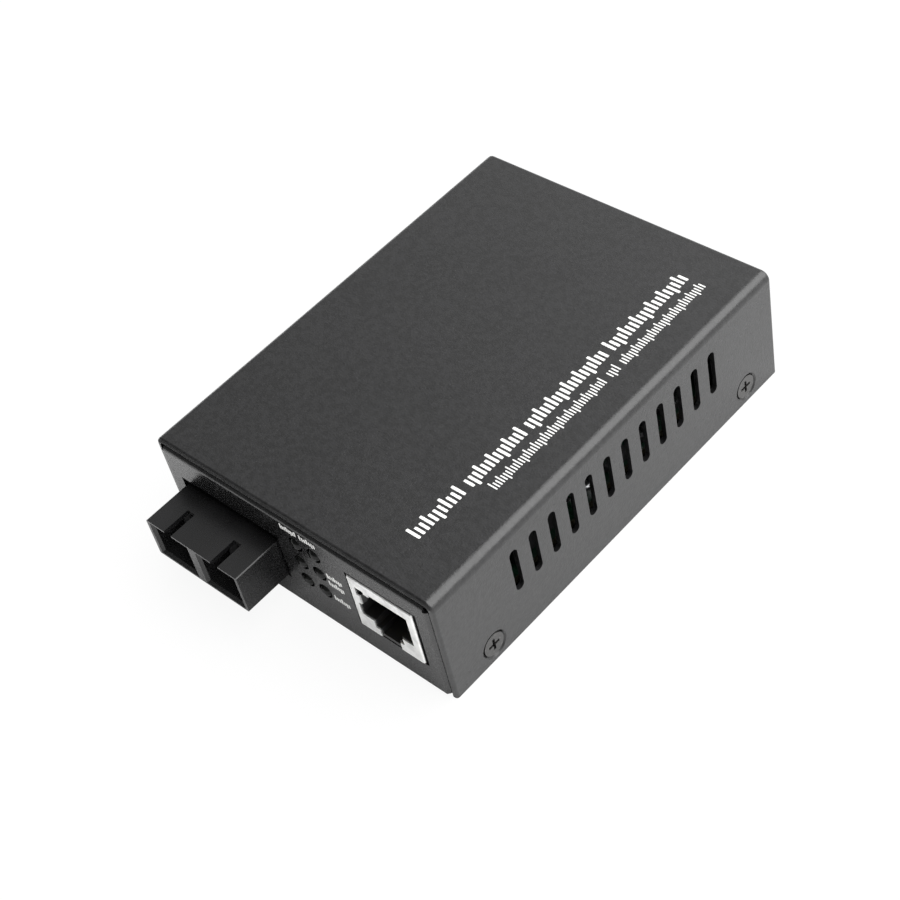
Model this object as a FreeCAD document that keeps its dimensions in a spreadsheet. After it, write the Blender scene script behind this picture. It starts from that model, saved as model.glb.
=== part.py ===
"""Fibre media converter: a folded steel case with an SC duplex fibre module at the front,
a shielded network jack, six indicator lamps, a power socket at the rear and the board inside.

The frame is in millimetres: +Z up, the front panel faces -Y, and the origin is the centre
of the bottom face. Every length comes from the spreadsheet "Sizes".
"""
import FreeCAD
import Part
import Sketcher
import math
import os

from FreeCAD import Rotation, Vector

# Driving dimensions: alias, value, what it measures.
SIZES = [
    # case
    ("case_width", 70.0, "outer width of the cover"),
    ("case_height", 26.0, "bottom of the chassis to the top of the cover"),
    ("cover_length", 94.0, "front edge to rear edge of the cover"),
    ("cover_gauge", 1.0, "sheet thickness of the cover"),
    ("cover_bend", 0.9, "inside radius of the cover's two folds"),
    ("cover_edge", 0.6, "rounding of the cover's outer edges at both ends"),
    ("cover_foot_gap", 0.1, "underside of the chassis to the cover's lower edges"),
    ("cover_fit", 0.15, "gap between the cover's sides and the chassis inside it"),
    ("cover_top_gap", 0.3, "gap between the cover's top and the chassis inside it"),
    ("panel_stand_off", 0.5, "how far each end panel stands out of the cover"),
    ("chassis_gauge", 0.8, "sheet thickness of the chassis"),
    ("chassis_bend", 0.1, "inside radius of the chassis folds"),
    ("flange_depth", 6.0, "depth of the folds round the end panels"),
    ("side_flange_height", 8.0, "height of the chassis side flanges"),
    ("corner_relief", 0.05, "clear notch where two folds meet, past their bends"),
    ("flange_gap", 0.8, "side flanges to the end panels' folds"),
    # ventilation slots, in both side walls
    ("vent_count", 12, "slots in each side wall"),
    ("vent_pitch", 5.06, "spacing of the slots"),
    ("vent_width", 2.0, "width of a slot"),
    ("vent_length", 10.2, "height of a slot over its round ends"),
    ("vent_level", 15.8, "height of the slots' centres"),
    ("vent_shift", 0.2, "middle of the slot row behind the middle of the cover"),
    # cover screws, two in each side wall
    ("screw_front_inset", 10.8, "front screws behind the cover's front edge"),
    ("screw_rear_inset", 9.5, "rear screws ahead of the cover's rear edge"),
    ("screw_level", 3.9, "height of the screws' axes"),
    ("screw_hole", 4.1, "small diameter of the cover's countersunk holes"),
    ("countersink_land", 0.05, "straight wall left under the countersink"),
    ("screw_head", 4.9, "head diameter"),
    ("screw_sink", 0.15, "head top below the cover's face"),
    ("screw_thread", 3.0, "thread diameter"),
    ("screw_length", 4.2, "overall length"),
    ("screw_gap", 0.04, "radial gap between a screw and its hole"),
    ("recess_span", 2.7, "tip to tip of the cross recess"),
    ("recess_width", 0.6, "width of each arm of the cross recess"),
    ("recess_depth", 0.9, "depth of the cross recess"),
    ("tap_wall", 0.7, "wall of the drawn collar round a tapped hole"),
    ("tap_depth", 0.7, "how far the drawn collar stands in"),
    # main board on its standoffs
    ("board_side_gap", 2.75, "board to the chassis side flanges"),
    ("board_rear_gap", 2.4, "board to the inside of the rear panel"),
    ("board_front_gap", 0.4, "board to the inside of the front panel"),
    ("board_thickness", 1.6, "thickness of the main board"),
    ("hole_gap", 0.15, "radial gap round a lead in its board hole"),
    ("lead_stub", 1.0, "how far leads stand out under the board"),
    ("standoff_height", 4.7, "chassis floor to the board"),
    ("standoff_across", 5.0, "standoff width across flats"),
    ("standoff_spigot", 4.2, "diameter of the standoff's riveted foot"),
    ("standoff_bore", 2.6, "bore of the standoff"),
    ("spigot_gap", 0.05, "radial gap round the riveted foot"),
    ("spigot_recess", 0.1, "riveted foot above the chassis underside"),
    ("board_hole", 3.4, "board hole for a board screw"),
    ("board_screw_head", 5.4, "head diameter of a board screw"),
    ("board_screw_head_height", 2.0, "head height of a board screw"),
    ("board_screw_thread", 2.5, "thread diameter of a board screw"),
    ("board_screw_reach", 4.0, "thread length below the head"),
    ("post_inset", 3.8, "side standoffs inside the board's edges"),
    ("post_rear_inset", 4.8, "rear standoffs ahead of the board's rear edge"),
    ("post_left_back", 33.8, "left standoff behind the board's front edge"),
    ("post_right_back", 45.3, "right standoff behind the board's front edge"),
    ("post_middle_x", 4.0, "middle standoff, across"),
    ("post_middle_back", 19.3, "middle standoff behind the board's front edge"),
    # fibre module
    ("module_x", -17.05, "centre of the module"),
    ("module_width", 24.8, "width of the module"),
    ("module_height", 9.4, "height of the module above the board"),
    ("module_length", 39.5, "length of the module"),
    ("nose_reach", 10.3, "how far the nose stands out of the panel"),
    ("module_side_gap", 0.55, "panel to the module's sides"),
    ("module_top_gap", 1.7, "panel to the module's top"),
    ("module_foot_gap", 0.3, "panel to the module's underside"),
    ("fibre_pitch", 12.7, "spacing of the two sockets"),
    ("socket_width", 9.4, "width of a socket"),
    ("socket_height", 7.4, "height of a socket"),
    ("socket_floor", 1.0, "wall under a socket"),
    ("socket_depth", 12.5, "depth of a socket"),
    ("socket_back", 1.6, "wall behind a socket"),
    ("socket_chamfer", 0.6, "chamfer round a socket's mouth"),
    ("key_width", 2.0, "width of a keyway"),
    ("key_length", 6.1, "length of a keyway"),
    ("module_wall", 1.2, "wall of the module's rear chamber"),
    ("module_edge", 0.35, "rounding of the module's long edges"),
    ("ferrule_bore", 2.5, "bore of a ferrule sleeve"),
    ("sleeve_wall", 0.85, "wall of a ferrule sleeve"),
    ("sleeve_reach", 6.0, "sleeve ahead of the socket's back wall"),
    ("sleeve_fit", 0.05, "gap between a sleeve and what holds it"),
    ("barrel_shoulder", 6.6, "shoulder diameter of an optical barrel"),
    ("barrel_shoulder_length", 1.2, "shoulder length of an optical barrel"),
    ("barrel_body", 5.0, "body diameter of an optical barrel"),
    ("barrel_body_length", 6.5, "body length of an optical barrel"),
    ("latch_plate", 1.0, "thickness of a latch frame's plate"),
    ("latch_margin", 0.25, "gap between a latch frame and its socket"),
    ("latch_arm", 0.9, "thickness of a latch arm"),
    ("latch_arm_height", 4.0, "height of a latch arm"),
    ("latch_reach", 6.4, "latch arms ahead of the socket's back wall"),
    ("latch_hook", 0.6, "how far a latch hook stands in"),
    ("latch_hook_length", 1.6, "length of a latch hook's ramp"),
    ("module_cover_gauge", 0.8, "thickness of the module's bottom cover"),
    ("module_cover_gap", 0.1, "gap round the module's bottom cover"),
    ("module_peg", 1.9, "diameter of the module's locating pegs"),
    ("module_peg_y", 6.0, "pegs behind the socket's back wall"),
    ("module_board_gauge", 1.0, "thickness of the module's own board"),
    ("module_board_gap", 0.2, "gap round the module's own board"),
    ("pin_count", 9, "pins of the module"),
    ("pin_margin", 1.34, "outer pins and pegs to the chamber's side walls"),
    ("pin_diameter", 0.5, "diameter of a pin"),
    ("pin_inset", 2.6, "pin row ahead of the module's rear face"),
    # network jack
    ("jack_inset", 13.15, "centre of the jack inside the case's right side"),
    ("jack_width", 15.7, "width over the shield"),
    ("jack_height", 13.5, "height over the shield"),
    ("jack_length", 21.0, "length over the shield"),
    ("jack_stand_off", 0.25, "shield face ahead of the panel"),
    ("jack_gap", 0.35, "panel to the shield at its left, top and foot"),
    ("jack_gap_right", 0.8, "panel to the shield at its right"),
    ("shield_gauge", 0.25, "thickness of the shield"),
    ("shield_bend", 0.45, "outside radius of the shield's folds"),
    ("shield_fit", 0.05, "gap between the shield and the jack body"),
    ("shield_tab_width", 1.5, "width of a shield leg"),
    ("shield_tab_inset", 12.0, "shield legs behind the shield face"),
    ("spring_gap", 0.15, "shield springs to the plastic beside them"),
    ("spring_bow", 0.3, "how far a shield spring bows into the opening"),
    ("spring_length", 2.4, "length of the side spring"),
    ("spring_height", 2.4, "height of the side spring"),
    ("spring_level", 8.1, "middle of the side spring above the board"),
    ("top_spring_width", 1.3, "width of the top spring"),
    ("top_spring_inset", 1.8, "top spring from the left of the plug opening"),
    ("top_spring_length", 2.1, "length of the top spring"),
    ("port_width", 11.9, "width of the plug opening"),
    ("port_height", 7.0, "height of the plug opening"),
    ("port_level", 4.05, "floor of the plug opening above the board"),
    ("port_depth", 14.0, "depth of the plug opening"),
    ("port_margin", 0.25, "shield opening wider than the body opening, each side"),
    ("notch_width", 6.4, "width of the latch notch"),
    ("notch_depth", 1.8, "depth of the latch notch"),
    ("tongue_width", 4.4, "width of the latch channel"),
    ("tongue_floor", 0.8, "wall under the latch channel"),
    ("contact_count", 8, "contacts in the jack"),
    ("contact_pitch", 1.02, "spacing of the contacts"),
    ("contact_gauge", 0.35, "thickness of a contact"),
    ("contact_width", 0.45, "width of a contact"),
    ("contact_drop", 3.0, "contact tip below the port's ceiling"),
    ("contact_slope", 6.5, "length of the sloping part of a contact"),
    ("contact_front", 3.6, "contact bend behind the jack's face"),
    ("contact_tail", 17.5, "contact tails behind the jack's face"),
    ("contact_cover", 0.5, "space over the contacts under the shield"),
    ("contact_room", 0.3, "clear space round the contact row"),
    # indicator lamps
    ("lamp_x", 3.5, "centre of the lamp block"),
    ("lamp_column_pitch", 4.6, "spacing of the two columns"),
    ("lamp_rows", 3, "rows of lamps"),
    ("lamp_low_rise", 2.8, "lowest row above the board"),
    ("lamp_top_drop", 6.3, "highest row below the top of the case"),
    ("lamp_diameter", 3.0, "diameter of a lamp"),
    ("lamp_hole_gap", 0.15, "radial gap round a lamp in the panel"),
    ("lamp_fit", 0.05, "radial gap round a lamp in its holder"),
    ("lamp_stand_out", 0.6, "lamp tip ahead of the panel"),
    ("lamp_length", 5.2, "length of a lamp"),
    ("lamp_tip_flat", 0.06, "radius of the flat at a lamp's tip"),
    ("lamp_rim", 3.4, "diameter of a lamp's rim"),
    ("lamp_rim_length", 1.0, "length of a lamp's rim"),
    ("holder_side", 0.5, "holder beside the lamps' rims"),
    ("holder_depth", 6.0, "depth of the lamp holder"),
    ("holder_gap", 0.2, "lamp holder to the panel"),
    ("holder_roof", 0.9, "holder above the top lamp's rim"),
    ("lamp_lead", 0.5, "side of a lamp lead"),
    ("lamp_lead_pitch", 2.54, "spacing of a lamp's two leads"),
    ("lamp_lead_step", 2.0, "how far back each higher row's leads turn down"),
    # power socket
    ("power_x", -12.0, "centre of the power socket"),
    ("power_level", 6.5, "socket axis above the board"),
    ("power_width", 9.0, "width of the socket's face"),
    ("power_height", 11.0, "height of the socket's face"),
    ("power_face", 3.3, "length of the face block"),
    ("power_length", 14.2, "length of the socket"),
    ("power_barrel", 8.0, "diameter of the barrel behind the face"),
    ("power_bore", 6.4, "diameter of the plug bore"),
    ("power_depth", 9.5, "depth of the plug bore"),
    ("power_pin_diameter", 2.0, "diameter of the centre pin"),
    ("power_pin_recess", 0.7, "pin tip behind the face"),
    ("power_pin_shank", 1.4, "diameter of the pin in the socket's back wall"),
    ("power_pin_gap", 0.03, "radial gap round the pin's shank"),
    ("power_panel_hole", 8.4, "hole in the rear panel"),
    ("power_panel_gap", 0.2, "socket face to the panel"),
    ("power_tail_width", 2.4, "width of a solder tail"),
    ("power_tail_gauge", 0.5, "thickness of a solder tail"),
    ("power_spring_gauge", 0.3, "thickness of the spring contact"),
    ("power_spring_rise", 0.6, "how far the spring bows into the bore"),
    ("power_slot", 0.3, "clear space round the spring contact"),
    # parts soldered to the main board; every package stands a little clear of the board
    ("solder_lift", 0.1, "underside of a leaded package above the board"),
    ("chip_x", -5.0, "converter chip, across"),
    ("chip_back", 53.3, "converter chip behind the board's front edge"),
    ("chip_width", 14.0, "converter chip, width"),
    ("chip_depth", 14.0, "converter chip, depth"),
    ("chip_height", 1.4, "converter chip, height"),
    ("chip_count", 16, "leads on each side"),
    ("chip_pitch", 0.8, "lead spacing"),
    ("chip_lead", 0.35, "lead width"),
    ("chip_reach", 1.0, "how far the leads stand out"),
    ("memory_inset", 9.3, "memory chip inside the board's left edge"),
    ("memory_back", 51.3, "memory chip behind the board's front edge"),
    ("memory_width", 4.9, "memory chip, width"),
    ("memory_depth", 3.9, "memory chip, depth"),
    ("memory_height", 1.5, "memory chip, height"),
    ("memory_count", 4, "leads on each side"),
    ("memory_pitch", 1.27, "lead spacing"),
    ("memory_lead", 0.42, "lead width"),
    ("memory_reach", 1.0, "how far the leads stand out"),
    ("transformer_shift", 1.85, "line transformer left of the jack's centre"),
    ("transformer_gap", 4.25, "jack to the line transformer"),
    ("transformer_width", 17.5, "line transformer, width"),
    ("transformer_depth", 12.0, "line transformer, depth"),
    ("transformer_height", 5.8, "line transformer, height"),
    ("transformer_count", 12, "leads on each side"),
    ("transformer_pitch", 1.27, "lead spacing"),
    ("transformer_lead", 0.5, "lead width"),
    ("transformer_reach", 1.4, "how far the leads stand out"),
    ("lead_gauge", 0.2, "thickness of a package lead"),
    ("lead_level", 0.45, "where leads leave a package, as a share of its height"),
    ("package_edge", 0.2, "chamfer round the top of a package"),
    ("crystal_x", 10.5, "crystal, across"),
    ("crystal_back", 53.3, "crystal behind the board's front edge"),
    ("crystal_width", 4.6, "crystal can, width"),
    ("crystal_length", 11.0, "crystal can, length"),
    ("crystal_height", 3.6, "crystal can, height"),
    ("crystal_rim", 0.4, "crystal flange, width and thickness"),
    ("can_inset", 4.3, "capacitor row inside the board's right edge"),
    ("can_back", 52.8, "first capacitor behind the board's front edge"),
    ("can_pitch", 8.6, "spacing of the capacitors"),
    ("can_count", 3, "capacitors in the row"),
    ("can_diameter", 6.3, "capacitor can, diameter"),
    ("can_height", 5.6, "capacitor can above its base"),
    ("can_edge", 0.5, "rounding of the can's top"),
    ("can_base", 6.7, "capacitor base, side"),
    ("can_base_height", 1.4, "capacitor base, height"),
    ("can_base_corner", 1.6, "cut corners of the base"),
    ("coil_x", 14.0, "power coil, across"),
    ("coil_ahead", 15.3, "power coil ahead of the board's rear edge"),
    ("coil_side", 7.3, "power coil, side"),
    ("coil_height", 4.0, "power coil, height"),
    ("coil_corner", 1.5, "rounding of the coil's corners"),
    ("regulator_x", 6.5, "voltage regulator, across"),
    ("regulator_ahead", 17.3, "voltage regulator ahead of the board's rear edge"),
    ("regulator_width", 6.5, "voltage regulator, width"),
    ("regulator_depth", 3.5, "voltage regulator, depth"),
    ("regulator_height", 1.6, "voltage regulator, height"),
    ("regulator_count", 3, "leads on the front side"),
    ("regulator_pitch", 2.3, "lead spacing"),
    ("regulator_lead", 0.7, "lead width"),
    ("regulator_reach", 1.7, "how far the leads stand out"),
    ("regulator_tab", 3.0, "width of the heat tab on the rear side"),
    ("diode_x", -1.0, "input diode, across"),
    ("diode_ahead", 6.3, "input diode ahead of the board's rear edge"),
    ("diode_width", 4.3, "input diode, width"),
    ("diode_depth", 2.6, "input diode, depth"),
    ("diode_height", 2.1, "input diode, height"),
    ("diode_lead", 1.4, "lead width"),
    ("diode_reach", 0.5, "how far the leads stand out"),
    ("capacitor_length", 2.0, "small capacitor, length"),
    ("capacitor_width", 1.25, "small capacitor, width"),
    ("capacitor_height", 1.0, "small capacitor, height"),
    ("capacitor_pitch", 2.8, "spacing of the small capacitors"),
    ("capacitor_count", 6, "small capacitors in a row"),
    ("resistor_length", 1.6, "small resistor, length"),
    ("resistor_width", 0.8, "small resistor, width"),
    ("resistor_height", 0.45, "small resistor, height"),
    ("resistor_pitch", 1.9, "spacing of the small resistors"),
    ("resistor_count", 8, "small resistors in a row"),
    ("row_gap", 3.0, "row of small parts to the part it serves"),
]


class Size:
    """A length together with the spreadsheet formula that gives it."""

    def __init__(self, value, formula):
        self.value = value
        self.formula = formula

    @staticmethod
    def of(thing):
        """Take a Size as it is and give a plain number its own text."""
        return thing if isinstance(thing, Size) else Size(float(thing), repr(float(thing)))

    def join(self, sign, other, value):
        return Size(value, f"({self.formula} {sign} {other.formula})")

    def __add__(self, other):
        other = Size.of(other)
        return self.join("+", other, self.value + other.value)

    def __sub__(self, other):
        other = Size.of(other)
        return self.join("-", other, self.value - other.value)

    def __mul__(self, other):
        other = Size.of(other)
        return self.join("*", other, self.value * other.value)

    def __truediv__(self, other):
        other = Size.of(other)
        return self.join("/", other, self.value / other.value)

    def __radd__(self, other):
        return Size.of(other) + self

    def __rsub__(self, other):
        return Size.of(other) - self

    def __rmul__(self, other):
        return Size.of(other) * self

    def __neg__(self):
        return Size(-self.value, f"(-1 * {self.formula})")


def fill_sheet(doc):
    """Write the driving dimensions into the spreadsheet and return them as Size values."""
    sheet = doc.addObject("Spreadsheet::Sheet", "Sizes")
    for row, (alias, value, note) in enumerate(SIZES, start=1):
        sheet.set(f"A{row}", alias)
        sheet.set(f"B{row}", str(value))
        sheet.set(f"C{row}", note)
        sheet.setAlias(f"B{row}", alias)
    doc.recompute()
    return {alias: Size(float(sheet.get(alias)), f"Sizes.{alias}") for alias, _, _ in SIZES}


DOC = FreeCAD.newDocument("FibreMediaConverter")
NAMED = fill_sheet(DOC)


class Named:
    """Reads a driving dimension as an attribute, such as S.case_width."""

    def __getattr__(self, alias):
        return NAMED[alias]


S = Named()


def bind(thing, path, size):
    """Tie one property of a document object to a formula over the spreadsheet."""
    thing.setExpression(path, Size.of(size).formula)


# Outlines. Each one returns a function that draws itself, fully constrained, in a sketch.

def pin_point(sketch, edge, end, x, y):
    """Hold one end of a sketch edge (or its centre) at a bound place."""
    for kind, size in (("DistanceX", Size.of(x)), ("DistanceY", Size.of(y))):
        index = sketch.addConstraint(Sketcher.Constraint(kind, edge, end, size.value))
        sketch.renameConstraint(index, f"{kind}{index}")
        bind(sketch, f"Constraints.{kind}{index}", size)


def hold_radius(sketch, edge, radius):
    """Bind the radius of a circle or an arc."""
    index = sketch.addConstraint(Sketcher.Constraint("Radius", edge, radius.value))
    sketch.renameConstraint(index, f"Radius{index}")
    bind(sketch, f"Constraints.Radius{index}", radius)


def polygon(points):
    """Closed outline through the given corners."""
    def draw(sketch):
        spots = [Vector(Size.of(x).value, Size.of(y).value, 0) for x, y in points]
        count = len(spots)
        edges = [sketch.addGeometry(Part.LineSegment(spots[i], spots[(i + 1) % count]))
                 for i in range(count)]
        for i, edge in enumerate(edges):
            following = edges[(i + 1) % count]
            sketch.addConstraint(Sketcher.Constraint("Coincident", edge, 2, following, 1))
            pin_point(sketch, edge, 1, *points[i])
    return draw


def rectangle(left, low, right, high):
    """Rectangle between two opposite corners."""
    return polygon([(left, low), (right, low), (right, high), (left, high)])


def circle(x, y, radius):
    """Circle round a centre."""
    def draw(sketch):
        centre = Vector(Size.of(x).value, Size.of(y).value, 0)
        edge = sketch.addGeometry(Part.Circle(centre, Vector(0, 0, 1), Size.of(radius).value))
        pin_point(sketch, edge, 3, x, y)
        hold_radius(sketch, edge, Size.of(radius))
    return draw


def slot(x, y, width, length):
    """Upright slot with round ends, given by its centre and its size over the ends."""
    def draw(sketch):
        half = width / 2
        reach = length / 2 - half
        turns = []
        for centre, start in ((y + reach, 0.0), (y - reach, math.pi)):
            middle = Vector(Size.of(x).value, centre.value, 0)
            arc = Part.ArcOfCircle(Part.Circle(middle, Vector(0, 0, 1), half.value),
                                   start, start + math.pi)
            turns.append(sketch.addGeometry(arc))
        for edge, centre, side in ((turns[0], y + reach, half), (turns[1], y - reach, -half)):
            pin_point(sketch, edge, 3, x, centre)
            pin_point(sketch, edge, 1, x + side, centre)
            level = sketch.addConstraint(Sketcher.Constraint("Horizontal", edge, 3, edge, 2))
            sketch.renameConstraint(level, f"Level{level}")
        for first, second in (turns, reversed(turns)):
            ends = [Vector(*sketch.getPoint(first, 2)), Vector(*sketch.getPoint(second, 1))]
            side = sketch.addGeometry(Part.LineSegment(*ends))
            sketch.addConstraint(Sketcher.Constraint("Coincident", side, 1, first, 2))
            sketch.addConstraint(Sketcher.Constraint("Coincident", side, 2, second, 1))
    return draw


def hexagon(x, y, across):
    """Hexagon round a centre, given by its width across flats."""
    corner = across / (2 * math.cos(math.pi / 6))
    turns = [math.radians(60 * k) for k in range(6)]
    return polygon([(x + corner * math.cos(turn), y + corner * math.sin(turn)) for turn in turns])


# The origin plane that a profile is drawn on, and the sign of that plane's normal.
PLANES = {"XY": ("XY_Plane", 1), "XZ": ("XZ_Plane", -1), "YZ": ("YZ_Plane", 1)}

# Distance within which an edge counts as lying where it was asked for.
NEAR = 0.004


def origin_item(body, role):
    """One of a body's own origin planes or axes."""
    return next(item for item in body.Origin.OriginFeatures if item.Role == role)


class Piece:
    """A PartDesign body grown by features that each lie between two parallel planes."""

    def __init__(self, label):
        self.body = DOC.addObject("PartDesign::Body", label)
        self.body.Label = label

    def sketch(self, plane, level, outlines):
        role, side = PLANES[plane]
        sketch = self.body.newObject("Sketcher::SketchObject", f"{self.body.Label}_outline")
        sketch.AttachmentSupport = (origin_item(self.body, role), [""])
        sketch.MapMode = "FlatFace"
        bind(sketch, "AttachmentOffset.Base.z", Size.of(level) * side)
        for draw in outlines:
            draw(sketch)
        return sketch

    def pad(self, plane, low, high, *outlines):
        """Add what the outlines enclose between two levels."""
        level = high if plane == "XZ" else low
        feature = self.body.newObject("PartDesign::Pad", f"{self.body.Label}_pad")
        feature.Profile = self.sketch(plane, level, outlines)
        bind(feature, "Length", high - low)
        return feature

    def pocket(self, plane, low, high, *outlines):
        """Take away what the outlines enclose between two levels."""
        level = low if plane == "XZ" else high
        feature = self.body.newObject("PartDesign::Pocket", f"{self.body.Label}_pocket")
        feature.Profile = self.sketch(plane, level, outlines)
        bind(feature, "Length", high - low)
        return feature

    def turn(self, plane, axis, outline, cut=False):
        """Revolve an outline about an origin axis, as a solid or as a cut."""
        kind = "PartDesign::Groove" if cut else "PartDesign::Revolution"
        feature = self.body.newObject(kind, f"{self.body.Label}_turn")
        feature.Profile = self.sketch(plane, 0, [outline])
        feature.ReferenceAxis = (origin_item(self.body, axis), [""])
        feature.Angle = 360
        return feature

    def repeat(self, features, axis, pitch, count):
        """Repeat features in a row along an origin axis."""
        pattern = self.body.newObject("PartDesign::LinearPattern", f"{self.body.Label}_row")
        pattern.Originals = features
        pattern.Direction = (origin_item(self.body, axis), [""])
        bind(pattern, "Length", pitch * (count - 1))
        bind(pattern, "Occurrences", count)
        self.body.Tip = pattern
        return pattern

    def edges(self, chosen):
        """Names of the edges of the solid so far that a test picks."""
        DOC.recompute()
        found = [f"Edge{number}" for number, edge in enumerate(self.body.Shape.Edges, start=1)
                 if chosen(edge)]
        if not found:
            raise RuntimeError(f"{self.body.Label}: no edge where one was expected")
        return found

    def dress(self, kind, names, path, size):
        """Round or chamfer the named edges by a bound size."""
        tip = self.body.Tip
        feature = self.body.newObject(kind, f"{self.body.Label}_edge")
        feature.Base = (tip, names)
        bind(feature, path, size)
        return feature

    def round(self, chosen, radius):
        return self.dress("PartDesign::Fillet", self.edges(chosen), "Radius", radius)

    def chamfer(self, chosen, size):
        return self.dress("PartDesign::Chamfer", self.edges(chosen), "Size", size)


def along(axis, *spots):
    """Pick straight edges parallel to an axis that pass through any of the given spots.

    A spot gives the two other coordinates in the order X, Y, Z. None matches any value.
    """
    lane = "XYZ".index(axis)
    others = [index for index in range(3) if index != lane]

    def chosen(edge):
        if not isinstance(edge.Curve, Part.Line) or abs(abs(edge.Curve.Direction[lane]) - 1) > 1e-6:
            return False
        middle = edge.CenterOfMass
        return any(all(wanted is None or abs(middle[index] - Size.of(wanted).value) < NEAR
                       for index, wanted in zip(others, spot)) for spot in spots)
    return chosen


def ring(axis, level, radius):
    """Pick round edges of one radius that lie square to an axis at one level."""
    lane = "XYZ".index(axis)
    levels = [Size.of(one).value for one in (level if isinstance(level, tuple) else (level,))]
    size = Size.of(radius).value

    def chosen(edge):
        return (isinstance(edge.Curve, Part.Circle)
                and abs(edge.Curve.Radius - size) < NEAR
                and any(abs(edge.Curve.Center[lane] - one) < NEAR for one in levels)
                and abs(abs(edge.Curve.Axis[lane]) - 1) < 1e-6)
    return chosen


def outer_rim(axis, ends, low_axis, low):
    """Pick the edges of a solid's two end faces, apart from those at its lowest level."""
    lane, low_lane = "XYZ".index(axis), "XYZ".index(low_axis)
    ends = [Size.of(end).value for end in ends]
    low = Size.of(low).value

    def chosen(edge):
        box = edge.BoundBox
        span = ((box.XMin, box.XMax), (box.YMin, box.YMax), (box.ZMin, box.ZMax))
        flat = span[lane][1] - span[lane][0] < NEAR
        return (flat and any(abs(span[lane][0] - end) < NEAR for end in ends)
                and span[low_lane][1] > low + NEAR)
    return chosen


def either(*tests):
    """Pick what any of the tests picks."""
    return lambda edge: any(test(edge) for test in tests)


def group(label, prototype, places):
    """Set copies of one body at bound places, as the separate solids of one sub-part.

    Args:
        label: name of the sub-part.
        prototype: the body that is repeated.
        places: (x, y, z, turn about Z in degrees) of each copy.
    """
    copies = []
    for x, y, z, turn in places:
        copy = DOC.addObject("App::Link", f"{label}_copy")
        copy.LinkedObject = prototype.body
        copy.Placement.Rotation = Rotation(Vector(0, 0, 1), turn)
        for name, size in (("x", x), ("y", y), ("z", z)):
            bind(copy, f"Placement.Base.{name}", size)
        copies.append(copy)
    whole = DOC.addObject("Part::Compound", label)
    whole.Label = label
    whole.Links = copies
    return whole


# Places that several sub-parts share.
half_width = S.case_width / 2
wall_inside = half_width - S.cover_gauge
chassis_side = wall_inside - S.cover_fit
chassis_end = S.cover_length / 2 + S.panel_stand_off
chassis_top = S.case_height - S.cover_gauge - S.cover_top_gap
panel_face = -chassis_end
panel_back = panel_face + S.chassis_gauge
fold = S.chassis_bend + S.chassis_gauge
board_low = S.chassis_gauge + S.standoff_height
board_top = board_low + S.board_thickness
board_half = chassis_side - S.chassis_gauge - S.board_side_gap
board_front = panel_back + S.board_front_gap
board_rear = -panel_back - S.board_rear_gap
lead_end = board_low - S.lead_stub
screw_places = (-S.cover_length / 2 + S.screw_front_inset,
                S.cover_length / 2 - S.screw_rear_inset)
post_side = board_half - S.post_inset
post_rear = board_rear - S.post_rear_inset
board_posts = (
    (S.post_middle_x, board_front + S.post_middle_back),
    (-post_side, board_front + S.post_left_back),
    (post_side, board_front + S.post_right_back),
    (-post_side, post_rear),
    (post_side, post_rear),
)

module_left = S.module_x - S.module_width / 2
module_right = S.module_x + S.module_width / 2
module_front = panel_face - S.nose_reach
module_rear = module_front + S.module_length
module_top = board_top + S.module_height
socket_low = board_top + S.socket_floor
socket_high = socket_low + S.socket_height
socket_axis = socket_low + S.socket_height / 2
socket_end = module_front + S.socket_depth
chamber_front = socket_end + S.socket_back
chamber_rear = module_rear - S.module_wall
chamber_left = module_left + S.module_wall
chamber_right = module_right - S.module_wall
chamber_top = module_top - S.socket_floor
fibre_axes = (S.module_x - S.fibre_pitch / 2, S.module_x + S.fibre_pitch / 2)
sleeve_radius = S.ferrule_bore / 2 + S.sleeve_wall
fibre_board_low = socket_axis - S.module_board_gauge / 2
pin_row = module_rear - S.pin_inset
first_pin = chamber_left + S.pin_margin
last_pin = chamber_right - S.pin_margin
pin_pitch = (last_pin - first_pin) / (S.pin_count - 1)
peg_row = chamber_front + S.module_peg_y

jack_face = panel_face - S.jack_stand_off
jack_rear = jack_face + S.jack_length
jack_x = half_width - S.jack_inset
jack_left = jack_x - S.jack_width / 2
jack_right = jack_x + S.jack_width / 2
jack_top = board_top + S.jack_height
shell = S.shield_gauge + S.shield_fit
port_low = board_top + S.port_level
port_high = port_low + S.port_height
port_left = jack_x - S.port_width / 2
port_right = jack_x + S.port_width / 2
port_back = jack_face + shell + S.port_depth
notch_low = port_low - S.notch_depth
first_contact = jack_x - S.contact_pitch * (S.contact_count - 1) / 2
contact_top = jack_top - shell - S.contact_cover

lamp_columns = (S.lamp_x - S.lamp_column_pitch / 2, S.lamp_x + S.lamp_column_pitch / 2)
lowest_lamp = board_top + S.lamp_low_rise
lamp_row_pitch = (S.case_height - S.lamp_top_drop - lowest_lamp) / (S.lamp_rows - 1)
lamp_levels = [lowest_lamp + lamp_row_pitch * row for row in range(int(S.lamp_rows.value))]
lamp_tip = panel_face - S.lamp_stand_out
lamp_rear = lamp_tip + S.lamp_length
holder_front = panel_back + S.holder_gap
holder_rear = holder_front + S.holder_depth

power_face = chassis_end - S.chassis_gauge - S.power_panel_gap
power_axis = board_top + S.power_level
power_floor = power_face - S.power_depth
power_rear = power_face - S.power_length
spring_tail = power_floor + S.power_tail_width
spring_front = power_face - S.power_pin_recess - S.power_slot * 2

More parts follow.
